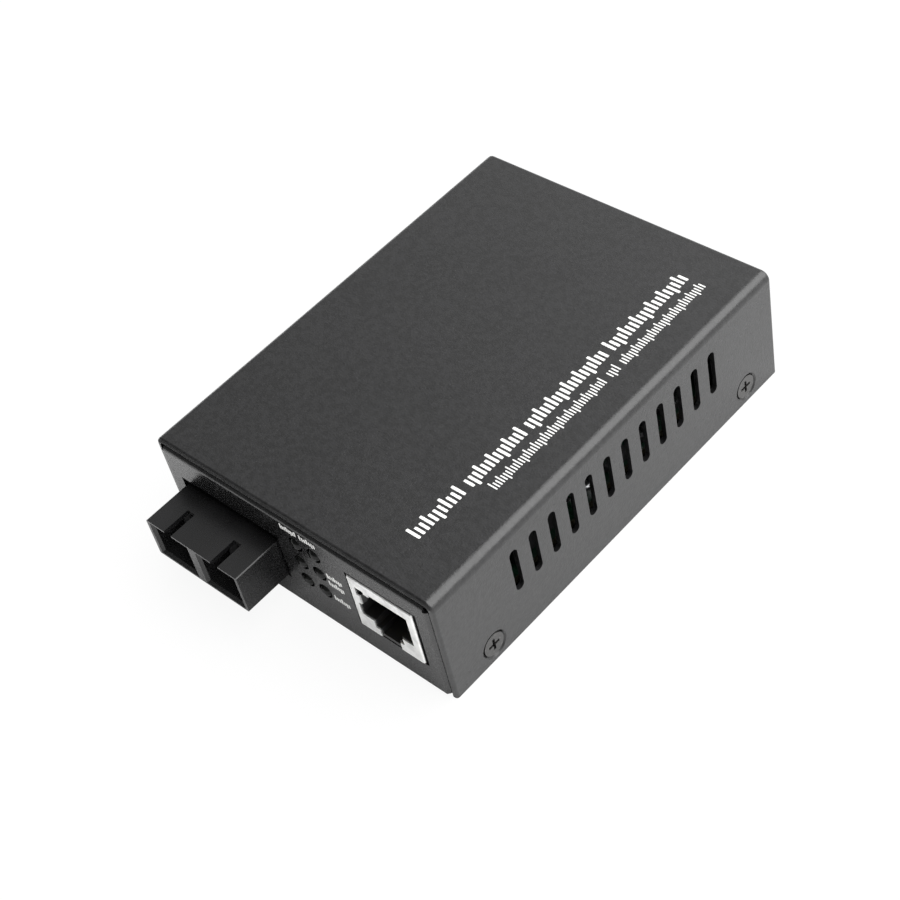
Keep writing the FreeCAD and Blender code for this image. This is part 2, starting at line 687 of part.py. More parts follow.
# Centres of the parts on the main board.
can_row = (board_half - S.can_inset, board_front + S.can_back)
package_places = {
    "chip": (S.chip_x, board_front + S.chip_back),
    "memory": (S.memory_inset - board_half, board_front + S.memory_back),
    "transformer": (jack_x - S.transformer_shift,
                    jack_rear + S.transformer_gap + S.transformer_depth / 2),
    "regulator": (S.regulator_x, board_rear - S.regulator_ahead),
    "diode": (S.diode_x, board_rear - S.diode_ahead),
}


def mirrored(x, *rest):
    """The same spot on both sides of the centre plane."""
    return (x, *rest), (-x, *rest)


def cross(span, width):
    """Outline of a cross recess round the sketch origin."""
    tip, side = span / 2, width / 2
    return polygon([
        (tip, -side), (tip, side), (side, side), (side, tip), (-side, tip), (-side, side),
        (-tip, side), (-tip, -side), (-side, -side), (-side, -tip), (side, -tip), (side, -side),
    ])


def make_top_cover():
    """Cover: one sheet folded down at both sides, with slots and countersunk holes."""
    cover = Piece("top_cover")
    front, rear = -S.cover_length / 2, S.cover_length / 2
    top, ceiling = S.case_height, S.case_height - S.cover_gauge
    foot = S.cover_foot_gap
    cover.pad("XZ", front, rear, rectangle(-half_width, foot, half_width, top))
    cover.round(along("Y", *mirrored(half_width, top)), S.cover_bend + S.cover_gauge)
    cover.round(outer_rim("Y", (front, rear), "Z", foot), S.cover_edge)
    cover.pocket("XZ", front, rear, rectangle(-wall_inside, foot, wall_inside, ceiling))
    cover.round(along("Y", *mirrored(wall_inside, ceiling)), S.cover_bend)

    first_vent = S.vent_shift - S.vent_pitch * (S.vent_count - 1) / 2
    vent = slot(first_vent, S.vent_level, S.vent_width, S.vent_length)
    vents = cover.pocket("YZ", -half_width, half_width, vent)
    cover.repeat([vents], "Y_Axis", S.vent_pitch, S.vent_count)

    hole = S.screw_hole / 2
    cover.pocket("YZ", -half_width, half_width,
                 *[circle(y, S.screw_level, hole) for y in screw_places])
    cover.chamfer(ring("X", (half_width, -half_width), hole),
                  S.cover_gauge - S.countersink_land)
    return cover


def make_base_chassis():
    """Chassis: floor and end panels of one sheet, folded in again at every panel's edge."""
    chassis = Piece("base_chassis")
    gauge, depth = S.chassis_gauge, S.flange_depth
    end, side, top = chassis_end, chassis_side, chassis_top
    floor_side = side - fold - S.corner_relief
    chassis.pad("YZ", -floor_side, floor_side, polygon([
        (-end, 0), (end, 0), (end, top), (end - depth, top), (end - depth, top - gauge),
        (end - gauge, top - gauge), (end - gauge, gauge), (gauge - end, gauge),
        (gauge - end, top - gauge), (depth - end, top - gauge), (depth - end, top), (-end, top),
    ]))
    chassis.round(along("X", *mirrored(end, 0), *mirrored(end, top)), fold)
    chassis.round(along("X", *mirrored(end - gauge, gauge), *mirrored(end - gauge, top - gauge)),
                  S.chassis_bend)

    ear_low, ear_high = fold + S.corner_relief, top - fold - S.corner_relief
    for facing in (-1, 1):
        chassis.pad("XY", ear_low, ear_high, polygon([
            (-side, end * facing), (side, end * facing), (side, (end - depth) * facing),
            (side - gauge, (end - depth) * facing), (side - gauge, (end - gauge) * facing),
            (gauge - side, (end - gauge) * facing), (gauge - side, (end - depth) * facing),
            (-side, (end - depth) * facing),
        ]))
    chassis.round(along("Z", *mirrored(side, end), *mirrored(side, -end)), fold)
    chassis.round(along("Z", *mirrored(side - gauge, end - gauge),
                        *mirrored(side - gauge, gauge - end)), S.chassis_bend)

    flange_end = end - depth - S.flange_gap
    flange_top = S.side_flange_height
    chassis.pad("XZ", -flange_end, flange_end, polygon([
        (-side, 0), (side, 0), (side, flange_top), (side - gauge, flange_top),
        (side - gauge, gauge), (gauge - side, gauge), (gauge - side, flange_top),
        (-side, flange_top),
    ]))
    chassis.round(along("Y", *mirrored(side, 0)), fold)
    chassis.round(along("Y", *mirrored(side - gauge, gauge)), S.chassis_bend)

    tap = S.screw_thread / 2 + S.screw_gap
    collar = [circle(y, S.screw_level, tap + S.tap_wall) for y in screw_places]
    chassis.pad("YZ", side - gauge - S.tap_depth, side - gauge, *collar)
    chassis.pad("YZ", gauge - side, gauge - side + S.tap_depth, *collar)
    chassis.pocket("YZ", -side, side, *[circle(y, S.screw_level, tap) for y in screw_places])
    chassis.chamfer(ring("X", (side, -side), tap),
                    (S.screw_hole - S.screw_thread) / 2 - S.countersink_land - S.cover_fit)

    chassis.pocket("XY", Size.of(0), gauge,
                   *[circle(x, y, S.standoff_spigot / 2 + S.spigot_gap) for x, y in board_posts])
    chassis.pocket(
        "XZ", panel_face, panel_back,
        rectangle(module_left - S.module_side_gap, board_top - S.module_foot_gap,
                  module_right + S.module_side_gap, module_top + S.module_top_gap),
        rectangle(jack_left - S.jack_gap, board_top - S.jack_gap,
                  jack_right + S.jack_gap_right, jack_top + S.jack_gap),
        *[circle(x, level, S.lamp_diameter / 2 + S.lamp_hole_gap)
          for x in lamp_columns for level in lamp_levels])
    chassis.pocket("XZ", -panel_back, -panel_face,
                   circle(S.power_x, power_axis, S.power_panel_hole / 2))
    return chassis


def make_cover_screws():
    """Four countersunk cross-recess screws, each pointing into its side wall."""
    screw = Piece("cover_screw_form")
    head, shank = S.screw_head / 2, S.screw_thread / 2
    rim_radius = S.screw_hole / 2 + S.cover_gauge - S.countersink_land
    rim = rim_radius - head - S.screw_sink - S.screw_gap
    tip = shank / 3
    screw.turn("XY", "X_Axis", polygon([
        (0, 0), (0, head), (-rim, head), (-rim - (head - shank), shank),
        (tip - S.screw_length, shank), (-S.screw_length, shank - tip), (-S.screw_length, 0),
    ]))
    screw.pocket("YZ", -S.recess_depth, Size.of(0), cross(S.recess_span, S.recess_width))
    outside = half_width - S.screw_sink
    places = [(outside, y, S.screw_level, 0) for y in screw_places]
    places += [(-outside, y, S.screw_level, 180) for y in screw_places]
    return group("cover_screws", screw, places)


def make_board_standoffs():
    """Hexagon standoffs, each riveted into the chassis floor by a round foot."""
    post = Piece("standoff_form")
    foot = S.chassis_gauge - S.spigot_recess
    post.pad("XY", -foot, Size.of(0), circle(0, 0, S.standoff_spigot / 2))
    post.pad("XY", Size.of(0), S.standoff_height, hexagon(Size.of(0), Size.of(0), S.standoff_across))
    post.pocket("XY", -foot, S.standoff_height, circle(0, 0, S.standoff_bore / 2))
    return group("board_standoffs", post, [(x, y, S.chassis_gauge, 0) for x, y in board_posts])


def make_board_screws():
    """Pan-head cross-recess screws that hold the board on its standoffs."""
    screw = Piece("board_screw_form")
    top = S.board_screw_head_height
    shank = S.board_thickness + S.board_screw_reach
    screw.pad("XY", Size.of(0), top, circle(0, 0, S.board_screw_head / 2))
    screw.round(ring("Z", top, S.board_screw_head / 2), top / 2)
    screw.pad("XY", -shank, Size.of(0), circle(0, 0, S.board_screw_thread / 2))
    screw.pocket("XY", top - S.recess_depth, top, cross(S.recess_span, S.recess_width))
    return group("board_screws", screw, [(x, y, board_top, 0) for x, y in board_posts])


def lamp_lead_row(row):
    """Where the leads of one row of lamps turn down to the board."""
    return holder_rear + S.lamp_lead + S.lamp_lead_step * row


def lamp_lead_columns():
    """Centres of the leads across the lamp block."""
    half = S.lamp_lead_pitch / 2
    return [column + side for column in lamp_columns for side in (-half, half)]


def make_main_board():
    """Main board, drilled for its screws and for every lead and peg that passes through."""
    board = Piece("main_board")
    board.pad("XY", board_low, board_top,
              rectangle(-board_half, board_front, board_half, board_rear))
    gap = S.hole_gap
    screws = [circle(x, y, S.board_hole / 2) for x, y in board_posts]
    pegs = [circle(x, peg_row, S.module_peg / 2 + gap) for x in (first_pin, last_pin)]
    board.pocket("XY", board_low, board_top, *screws, *pegs)

    pin = board.pocket("XY", board_low, board_top,
                       circle(first_pin, pin_row, S.pin_diameter / 2 + gap))
    board.repeat([pin], "X_Axis", pin_pitch, S.pin_count)

    tail, half = jack_face + S.contact_tail, S.contact_width / 2 + gap
    contact = board.pocket("XY", board_low, board_top, rectangle(
        first_contact - half, tail - gap, first_contact + half, tail + S.contact_gauge + gap))
    board.repeat([contact], "X_Axis", S.contact_pitch, S.contact_count)

    leg = jack_face + S.shield_tab_inset
    legs = [rectangle(x - gap, leg - gap, x + S.shield_gauge + gap,
                      leg + S.shield_tab_width + gap)
            for x in (jack_left, jack_right - S.shield_gauge)]
    blade = S.power_tail_width / 2 + gap
    tails = [rectangle(S.power_x - blade, y - gap, S.power_x + blade, y + gauge + gap)
             for y, gauge in ((power_rear - S.power_tail_gauge, S.power_tail_gauge),
                              (spring_tail - S.power_spring_gauge, S.power_spring_gauge))]
    board.pocket("XY", board_low, board_top, *legs, *tails)

    half = S.lamp_lead / 2 + gap
    for row in range(len(lamp_levels)):
        y = lamp_lead_row(row)
        board.pocket("XY", board_low, board_top,
                     *[rectangle(x - half, y - gap, x + half, y + S.lamp_lead + gap)
                       for x in lamp_lead_columns()])
    return board


def make_fibre_housing():
    """Moulded module: two keyed sockets at the front and a chamber open below at the rear."""
    housing = Piece("fibre_housing")
    housing.pad("XZ", module_front, module_rear,
                rectangle(module_left, board_top, module_right, module_top))
    housing.round(along("Y", (module_left, module_top), (module_right, module_top),
                        (module_left, board_top), (module_right, board_top)), S.module_edge)
    housing.pocket("XZ", module_front, socket_end,
                   *[rectangle(x - S.socket_width / 2, socket_low,
                               x + S.socket_width / 2, socket_high) for x in fibre_axes])
    mouths = [(x + side * S.socket_width / 2, module_front) for x in fibre_axes for side in (-1, 1)]
    housing.chamfer(either(along("Z", *mouths), along(
        "X", (module_front, socket_low), (module_front, socket_high))), S.socket_chamfer)
    housing.pocket("XY", socket_high, module_top,
                   *[rectangle(x - S.key_width / 2, module_front,
                               x + S.key_width / 2, module_front + S.key_length)
                     for x in fibre_axes])
    housing.pocket("XY", board_top, chamber_top,
                   rectangle(chamber_left, chamber_front, chamber_right, chamber_rear))
    housing.pocket("XZ", socket_end, chamber_front,
                   *[circle(x, socket_axis, sleeve_radius + S.sleeve_fit) for x in fibre_axes])
    return housing


def make_latch_frames():
    """Latch frames at the back of the sockets, each a plate with two hooked arms."""
    frame = Piece("latch_frame_form")
    outside = S.socket_width / 2 - S.latch_margin
    height = S.socket_height / 2 - S.latch_margin
    inside = outside - S.latch_arm
    catch = S.latch_hook_length - S.latch_reach
    frame.pad("XZ", -S.latch_plate, Size.of(0), rectangle(-outside, -height, outside, height))
    for side in (-1, 1):
        frame.pad("XY", -S.latch_arm_height / 2, S.latch_arm_height / 2, polygon([
            (inside * side, -S.latch_plate / 2), (outside * side, -S.latch_plate / 2),
            (outside * side, -S.latch_reach), (inside * side, -S.latch_reach),
            ((inside - S.latch_hook) * side, catch - S.latch_hook),
            ((inside - S.latch_hook) * side, catch), (inside * side, catch),
        ]))
    frame.pocket("XZ", -S.latch_plate, Size.of(0),
                 circle(0, 0, sleeve_radius + S.sleeve_fit))
    return group("latch_frames", frame, [(x, socket_end, socket_axis, 0) for x in fibre_axes])


def make_optical_barrels():
    """Optical barrels: a ferrule sleeve in each socket, with its shoulder behind the wall."""
    barrel = Piece("optical_barrel_form")
    reach = S.socket_back + S.sleeve_reach
    bore = S.ferrule_bore / 2
    shoulder, body = S.barrel_shoulder / 2, S.barrel_body / 2
    waist = S.barrel_shoulder_length
    end = waist + S.barrel_body_length
    barrel.turn("XY", "Y_Axis", polygon([
        (bore, -reach), (sleeve_radius, -reach), (sleeve_radius, 0), (shoulder, 0),
        (shoulder, waist), (body, waist), (body, end), (0, end), (0, 0), (bore, 0),
    ]))
    return group("optical_barrels", barrel,
                 [(x, chamber_front, socket_axis, 0) for x in fibre_axes])


def make_fibre_base():
    """Bottom cover of the fibre module, with the pegs that locate it on the main board."""
    base = Piece("fibre_base")
    gap = S.module_cover_gap
    base.pad("XY", board_top, board_top + S.module_cover_gauge,
             rectangle(chamber_left + gap, chamber_front + gap,
                       chamber_right - gap, chamber_rear - gap))
    base.pad("XY", board_low, board_top,
             *[circle(x, peg_row, S.module_peg / 2) for x in (first_pin, last_pin)])
    base.pocket("XY", board_top, board_top + S.module_cover_gauge,
                *[circle(first_pin + pin_pitch * k, pin_row, S.pin_diameter / 2 + S.hole_gap)
                  for k in range(int(S.pin_count.value))])
    return base


def make_fibre_board():
    """Small board inside the fibre module, between the barrels and the pins."""
    board = Piece("fibre_board")
    gap = S.module_board_gap
    front = chamber_front + S.barrel_shoulder_length + S.barrel_body_length + gap
    board.pad("XY", fibre_board_low, fibre_board_low + S.module_board_gauge,
              rectangle(chamber_left + gap, front, chamber_right - gap, chamber_rear - gap))
    board.pocket("XY", fibre_board_low, fibre_board_low + S.module_board_gauge,
                 *[circle(first_pin + pin_pitch * k, pin_row, S.pin_diameter / 2 + S.hole_gap)
                   for k in range(int(S.pin_count.value))])
    return board


def make_fibre_pins():
    """Row of pins from the module's own board down through the main board."""
    pins = Piece("fibre_pins")
    first = pins.pad("XY", lead_end, fibre_board_low + S.module_board_gauge + S.hole_gap,
                     circle(first_pin, pin_row, S.pin_diameter / 2))
    pins.repeat([first], "X_Axis", pin_pitch, S.pin_count)
    return pins


def port_outline(spare, foot):
    """Plug opening with its latch notch and channel below, wider by a margin all round."""
    left, right = port_left - spare, port_right + spare
    low, high = port_low - spare, port_high + spare
    notch, tongue = S.notch_width / 2 + spare, S.tongue_width / 2 + spare
    step = notch_low - spare
    middle = jack_x
    return polygon([
        (left, high), (left, low), (middle - notch, low), (middle - notch, step),
        (middle - tongue, step), (middle - tongue, foot), (middle + tongue, foot),
        (middle + tongue, step), (middle + notch, step), (middle + notch, low),
        (right, low), (right, high),
    ])


def make_jack_shield():
    """Folded shield over the jack, open below, with springs in its opening and two legs."""
    shield = Piece("jack_shield")
    gauge = S.shield_gauge
    shield.pad("XY", board_top, jack_top, rectangle(jack_left, jack_face, jack_right, jack_rear))
    upright = [(x, y) for x in (jack_left, jack_right) for y in (jack_face, jack_rear)]
    shield.round(along("Z", *upright), S.shield_bend)
    shield.round(lambda edge: abs(edge.CenterOfMass.z - jack_top.value) < NEAR
                 and isinstance(edge.Curve, Part.Line), S.shield_bend - S.shield_fit)
    shield.pocket("XY", board_top, jack_top - gauge,
                  rectangle(jack_left + gauge, jack_face + gauge,
                            jack_right - gauge, jack_rear - gauge))
    shield.pocket("XZ", jack_face, jack_face + gauge,
                  port_outline(S.port_margin, board_top))
    leg = jack_face + S.shield_tab_inset
    shield.pad("XY", lead_end, board_top + gauge,
               *[rectangle(x, leg, x + gauge, leg + S.shield_tab_width)
                 for x in (jack_left, jack_right - gauge)])

    rest, bow = S.spring_gap + gauge, S.spring_bow
    crest, tail = jack_face + S.spring_length / 2, jack_face + S.spring_length
    middle = board_top + S.spring_level
    root, foot = port_left - S.port_margin * 2, port_left + S.spring_gap
    shield.pad("XY", middle - S.spring_height / 2, middle + S.spring_height / 2, polygon([
        (root, jack_face), (port_left + rest, jack_face), (port_left + rest + bow, crest),
        (port_left + rest, tail), (foot, tail), (foot + bow, crest),
        (foot, jack_face + gauge), (root, jack_face + gauge),
    ]))
    left, end = port_left + S.top_spring_inset, jack_face + S.top_spring_length
    shield.pad("YZ", left, left + S.top_spring_width, polygon([
        (jack_face, port_high + S.port_margin * 2), (jack_face, port_high - rest),
        (end, port_high - rest - bow), (end, port_high - S.spring_gap - bow),
        (jack_face + gauge, port_high - S.spring_gap),
        (jack_face + gauge, port_high + S.port_margin * 2),
    ]))
    return shield


def make_jack_body():
    """Moulded jack body: the plug opening, and the channels that its contacts lie in."""
    body = Piece("jack_body")
    front, rear = jack_face + shell, jack_rear - shell
    top = jack_top - shell
    room = S.contact_room
    body.pad("XY", board_top, top,
             rectangle(jack_left + shell, front, jack_right - shell, rear))
    body.pocket("XZ", front, port_back,
                port_outline(Size.of(0), board_top + S.tongue_floor))
    left = first_contact - S.contact_width / 2 - room
    right = 2 * jack_x - left
    bend, tail = jack_face + S.contact_front, jack_face + S.contact_tail
    channel = contact_top - S.contact_gauge - room
    body.pocket("XY", channel, top,
                rectangle(left, bend - room, right, tail + S.contact_gauge + room))
    body.pocket("XY", port_high, channel,
                rectangle(left, bend - room, right, bend + S.contact_slope + room))
    body.pocket("XY", board_top, channel,
                rectangle(left, tail - room, right, tail + S.contact_gauge + room))
    return body


def make_jack_contacts():
    """Spring contacts: up from the board, forward over the port and back down into it."""
    contacts = Piece("jack_contacts")
    gauge = S.contact_gauge
    tail, bend = jack_face + S.contact_tail, jack_face + S.contact_front
    tip, tip_level = bend + S.contact_slope, port_high - S.contact_drop
    first = contacts.pad(
        "YZ", first_contact - S.contact_width / 2, first_contact + S.contact_width / 2,
        polygon([
            (tail + gauge, lead_end), (tail + gauge, contact_top), (bend, contact_top),
            (bend, contact_top - gauge), (tip, tip_level), (tip, tip_level + gauge),
            (bend + 2 * gauge, contact_top - gauge), (tail, contact_top - gauge),
            (tail, lead_end),
        ]))
    contacts.repeat([first], "X_Axis", S.contact_pitch, S.contact_count)
    return contacts


def make_indicator_lamps():
    """Six round-nosed lamps with a rim at the rear."""
    lamp = Piece("indicator_lamp_form")
    nose = S.lamp_length - S.lamp_rim_length
    lamp.pad("XZ", Size.of(0), nose, circle(0, 0, S.lamp_diameter / 2))
    lamp.round(ring("Y", 0, S.lamp_diameter / 2), S.lamp_diameter / 2 - S.lamp_tip_flat)
    lamp.pad("XZ", nose, S.lamp_length, circle(0, 0, S.lamp_rim / 2))
    return group("indicator_lamps", lamp,
                 [(x, lamp_tip, level, 0) for level in lamp_levels for x in lamp_columns])


def make_lamp_holder():
    """Block that carries the six lamps behind the panel, bored from both ends."""
    holder = Piece("lamp_holder")
    half = S.lamp_column_pitch / 2 + S.lamp_rim / 2 + S.holder_side
    roof = lamp_levels[-1] + S.lamp_rim / 2 + S.holder_roof
    seat = lamp_rear - S.lamp_rim_length
    spots = [(x, level) for level in lamp_levels for x in lamp_columns]
    holder.pad("XZ", holder_front, holder_rear,
               rectangle(S.lamp_x - half, board_top, S.lamp_x + half, roof))
    holder.pocket("XZ", holder_front, seat,
                  *[circle(x, z, S.lamp_diameter / 2 + S.lamp_fit) for x, z in spots])
    holder.pocket("XZ", seat, holder_rear,
                  *[circle(x, z, S.lamp_rim / 2 + S.lamp_fit) for x, z in spots])
    return holder


def make_lamp_leads():
    """Square leads, straight back from each lamp and then down through the board."""
    leads = Piece("lamp_leads")
    side = S.lamp_lead
    for row, level in enumerate(lamp_levels):
        turn = lamp_lead_row(row)
        for x in lamp_lead_columns():
            leads.pad("YZ", x - side / 2, x + side / 2, polygon([
                (lamp_rear, level - side / 2), (turn, level - side / 2), (turn, lead_end),
                (turn + side, lead_end), (turn + side, level + side / 2),
                (lamp_rear, level + side / 2),
            ]))
    return leads


def make_power_body():
    """Moulded power socket: a square face, a round barrel behind it, and the plug bore."""
    body = Piece("power_body")
    half, barrel = S.power_width / 2, S.power_barrel / 2
    shoulder = power_face - S.power_face
    body.pad("XZ", shoulder, power_face,
             rectangle(S.power_x - half, board_top, S.power_x + half, board_top + S.power_height))
    body.pad("XZ", power_rear, shoulder, circle(S.power_x, power_axis, barrel))
    body.pad("XZ", power_rear, shoulder,
             rectangle(S.power_x - barrel, board_top, S.power_x + barrel, power_axis))
    body.pocket("XZ", power_floor, power_face, circle(S.power_x, power_axis, S.power_bore / 2))
    body.pocket("XZ", power_rear, power_floor,
                circle(S.power_x, power_axis, S.power_pin_shank / 2 + S.power_pin_gap))
    slit = S.power_tail_width / 2 + S.power_slot
    body.pocket("XZ", spring_tail - S.power_spring_gauge - S.power_slot,
                spring_front + S.power_slot,
                rectangle(S.power_x - slit, board_top, S.power_x + slit, power_axis))
    return body


def make_power_pin():
    """Centre pin, riveted through the socket's back wall on to its solder blade."""
    pin = Piece("power_pin")
    tip = power_face - S.power_pin_recess
    radius = S.power_pin_diameter / 2
    half = S.power_tail_width / 2
    pin.pad("XZ", power_rear, power_floor,
            circle(S.power_x, power_axis, S.power_pin_shank / 2))
    pin.pad("XZ", power_floor, tip, circle(S.power_x, power_axis, radius))
    pin.round(ring("Y", tip, radius), radius / 2)
    pin.pad("XZ", power_rear - S.power_tail_gauge, power_rear,
            rectangle(S.power_x - half, lead_end, S.power_x + half, power_axis + half))
    return pin


def make_power_spring():
    """Spring contact under the plug bore, bowed up into it, with its tail to the board."""
    spring = Piece("power_spring")
    gauge, half = S.power_spring_gauge, S.power_tail_width / 2
    base = power_axis - S.power_bore / 2
    crown, middle = base + S.power_spring_rise, (spring_tail + spring_front) / 2
    spring.pad("YZ", S.power_x - half, S.power_x + half, polygon([
        (spring_tail, lead_end), (spring_tail, base - gauge), (middle, crown - gauge),
        (spring_front, base - gauge), (spring_front, base), (middle, crown),
        (spring_tail - gauge, base), (spring_tail - gauge, lead_end),
    ]))
    return spring


def gull_lead(start, level, reach, facing):
    """Side view of a package lead: out, down and out again on to the board."""
    gauge = S.lead_gauge
    knee, toe = start + reach * facing / 2, start + reach * facing
    return polygon([
        (start, level), (knee, level), (knee, board_top), (toe, board_top),
        (toe, board_top + gauge), (knee + gauge * facing, board_top + gauge),
        (knee + gauge * facing, level + gauge), (start, level + gauge),
    ])


def make_package(name, label):
    """Moulded package that stands just clear of the board, with a chamfered top."""
    x, y = package_places[name]
    wide, deep = NAMED[f"{name}_width"] / 2, NAMED[f"{name}_depth"] / 2
    low = board_top + S.solder_lift
    top = low + NAMED[f"{name}_height"]
    package = Piece(label)
    package.pad("XY", low, top, rectangle(x - wide, y - deep, x + wide, y + deep))
    package.chamfer(lambda edge: abs(edge.CenterOfMass.z - top.value) < NEAR, S.package_edge)
    return package


def make_leads(name, label, sides):
    """Rows of package leads.

    Args:
        name: prefix of the package's sizes.
        label: name of the sub-part.
        sides: (axis, facing, count, pitch, lead width) of each row.
    """
    x, y = package_places[name]
    wide, deep = NAMED[f"{name}_width"] / 2, NAMED[f"{name}_depth"] / 2
    level = board_top + S.solder_lift + NAMED[f"{name}_height"] * S.lead_level
    reach = NAMED[f"{name}_reach"]
    leads = Piece(label)
    for axis, facing, count, pitch, width in sides:
        plane, across, along_row, start = ("YZ", x, "X_Axis", y + deep * facing)
        if axis == "X":
            plane, across, along_row, start = ("XZ", y, "Y_Axis", x + wide * facing)
        first = across - pitch * (count - 1) / 2
        lead = leads.pad(plane, first - width / 2, first + width / 2,
                         gull_lead(start, level, reach, facing))
        if count.value > 1:
            leads.repeat([lead], along_row, pitch, count)
    return leads


def make_crystal():
    """Crystal in a drawn can with round ends, standing on its flange."""
    crystal = Piece("crystal_can")
    rim, y = S.crystal_rim, board_front + S.crystal_back
    crystal.pad("XY", board_top, board_top + rim,
                slot(S.crystal_x, y, S.crystal_width + 2 * rim, S.crystal_length + 2 * rim))
    crystal.pad("XY", board_top + rim, board_top + S.crystal_height,
                slot(S.crystal_x, y, S.crystal_width, S.crystal_length))
    crystal.round(lambda edge: abs(edge.BoundBox.ZMin - (board_top + S.crystal_height).value) < NEAR,
                  rim)
    return crystal


def make_capacitor_bases():
    """Square bases of the electrolytic capacitors, with two corners cut."""
    bases = Piece("capacitor_bases")
    half, corner = S.can_base / 2, S.can_base_corner
    x, y = can_row
    first = bases.pad("XY", board_top, board_top + S.can_base_height, polygon([
        (x - half, y - half + corner), (x - half + corner, y - half), (x + half - corner, y - half),
        (x + half, y - half + corner), (x + half, y + half), (x - half, y + half),
    ]))
    bases.repeat([first], "Y_Axis", S.can_pitch, S.can_count)
    return bases


def make_capacitor_cans():
    """Round aluminium cans of the electrolytic capacitors."""
    can = Piece("capacitor_can_form")
    can.pad("XY", Size.of(0), S.can_height, circle(0, 0, S.can_diameter / 2))
    can.round(ring("Z", S.can_height, S.can_diameter / 2), S.can_edge)
    level = board_top + S.can_base_height
    return group("capacitor_cans", can,
                 [(can_row[0], can_row[1] + S.can_pitch * k, level, 0)
                  for k in range(int(S.can_count.value))])


def make_power_coil():
    """Shielded power coil with rounded corners."""
    coil = Piece("power_coil")
    half, x, y = S.coil_side / 2, S.coil_x, board_rear - S.coil_ahead
    coil.pad("XY", board_top, board_top + S.coil_height,
             rectangle(x - half, y - half, x + half, y + half))
    corners = [(x + a * half, y + b * half) for a in (-1, 1) for b in (-1, 1)]
    coil.round(along("Z", *corners), S.coil_corner)
    return coil


def make_small_parts(name, label, rows):
    """Rows of small two-ended parts.

    Args:
        name: prefix of the part's sizes.
        label: name of the sub-part.
        rows: (centre x, centre y) of each row, which runs across the board.
    """
    length, width = NAMED[f"{name}_length"], NAMED[f"{name}_width"]
    count, pitch = NAMED[f"{name}_count"], NAMED[f"{name}_pitch"]
    parts = Piece(label)
    for x, y in rows:
        first = x - pitch * (count - 1) / 2
        part = parts.pad("XY", board_top, board_top + NAMED[f"{name}_height"],
                         rectangle(first - width / 2, y - length / 2,
                                   first + width / 2, y + length / 2))
        parts.repeat([part], "X_Axis", pitch, count)
    return parts


def build():
    """Make every sub-part and return the document objects that are written out."""
    chip_row = (S.chip_count, S.chip_pitch, S.chip_lead)
    transformer_row = (S.transformer_count, S.transformer_pitch, S.transformer_lead)
    memory_row = (S.memory_count, S.memory_pitch, S.memory_lead)
    regulator_row = (S.regulator_count, S.regulator_pitch, S.regulator_lead)
    one = Size.of(1)
    chip_x, chip_y = package_places["chip"]
    transformer_x, transformer_y = package_places["transformer"]
    ahead = chip_y - S.chip_depth / 2 - S.row_gap
    behind = chip_y + S.chip_depth / 2 + S.row_gap
    lead_row = transformer_y + S.transformer_depth / 2 + S.row_gap + S.resistor_length
    pieces = [
        make_top_cover(), make_base_chassis(), make_cover_screws(),
        make_board_standoffs(), make_board_screws(), make_main_board(),
        make_fibre_housing(), make_latch_frames(), make_optical_barrels(), make_fibre_base(),
        make_fibre_board(), make_fibre_pins(),
        make_jack_shield(), make_jack_body(), make_jack_contacts(),
        make_indicator_lamps(), make_lamp_holder(), make_lamp_leads(),
        make_power_body(), make_power_pin(), make_power_spring(),
        make_package("chip", "converter_chip"),
        make_leads("chip", "converter_chip_leads",
                   [(axis, facing, *chip_row) for axis in "XY" for facing in (-1, 1)]),
        make_package("memory", "memory_chip"),
        make_leads("memory", "memory_chip_leads", [("Y", -1, *memory_row), ("Y", 1, *memory_row)]),
        make_package("transformer", "line_transformer"),
        make_leads("transformer", "line_transformer_leads",
                   [("Y", -1, *transformer_row), ("Y", 1, *transformer_row)]),
        make_package("regulator", "voltage_regulator"),
        make_leads("regulator", "voltage_regulator_leads",
                   [("Y", -1, *regulator_row), ("Y", 1, one, one, S.regulator_tab)]),
        make_package("diode", "input_diode"),
        make_leads("diode", "input_diode_leads",
                   [("X", -1, one, one, S.diode_lead), ("X", 1, one, one, S.diode_lead)]),
        make_crystal(), make_capacitor_bases(), make_capacitor_cans(), make_power_coil(),
        make_small_parts("capacitor", "small_capacitors", [(chip_x, ahead), (chip_x, behind)]),
        make_small_parts("resistor", "small_resistors",
                         [(transformer_x, lead_row),
                          (package_places["memory"][0], behind + S.row_gap)]),
    ]
    return [piece.body if isinstance(piece, Piece) else piece for piece in pieces]


def write(pieces):
    """Check the whole document, then write each sub-part to its own STEP file."""
    DOC.recompute()
    for item in DOC.Objects:
        if {"Invalid", "Error"} & set(item.State):
            raise RuntimeError(f"{item.Label}: {item.State}")
    for piece in pieces:
        if piece.Shape.isNull() or not piece.Shape.isValid() or not piece.Shape.Solids:
            raise RuntimeError(f"{piece.Label}: no valid solid")
    os.makedirs("parts", exist_ok=True)
    for piece in pieces:
        piece.Shape.exportStep(f"parts/{piece.Label}.step")
        box = piece.Shape.BoundBox
        print(f"{piece.Label}: {len(piece.Shape.Solids)} solids, "
              f"{box.XLength:.2f} x {box.YLength:.2f} x {box.ZLength:.2f}")


write(build())
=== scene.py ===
"""Fibre media converter: finishes, print, studio and camera over the CAD frame.

The frame is in metres with +Z up and the front panel facing -Y. Sizes below are in
millimetres and are turned into metres by MM, and a finish works in millimetres as well.
"""
from __future__ import annotations

import itertools
import logging
import math
from abc import ABC, abstractmethod
from collections.abc import Iterable, Iterator, Mapping, Sequence
from dataclasses import dataclass
from enum import Enum
from typing import NamedTuple

import bpy
from mathutils import Matrix, Vector


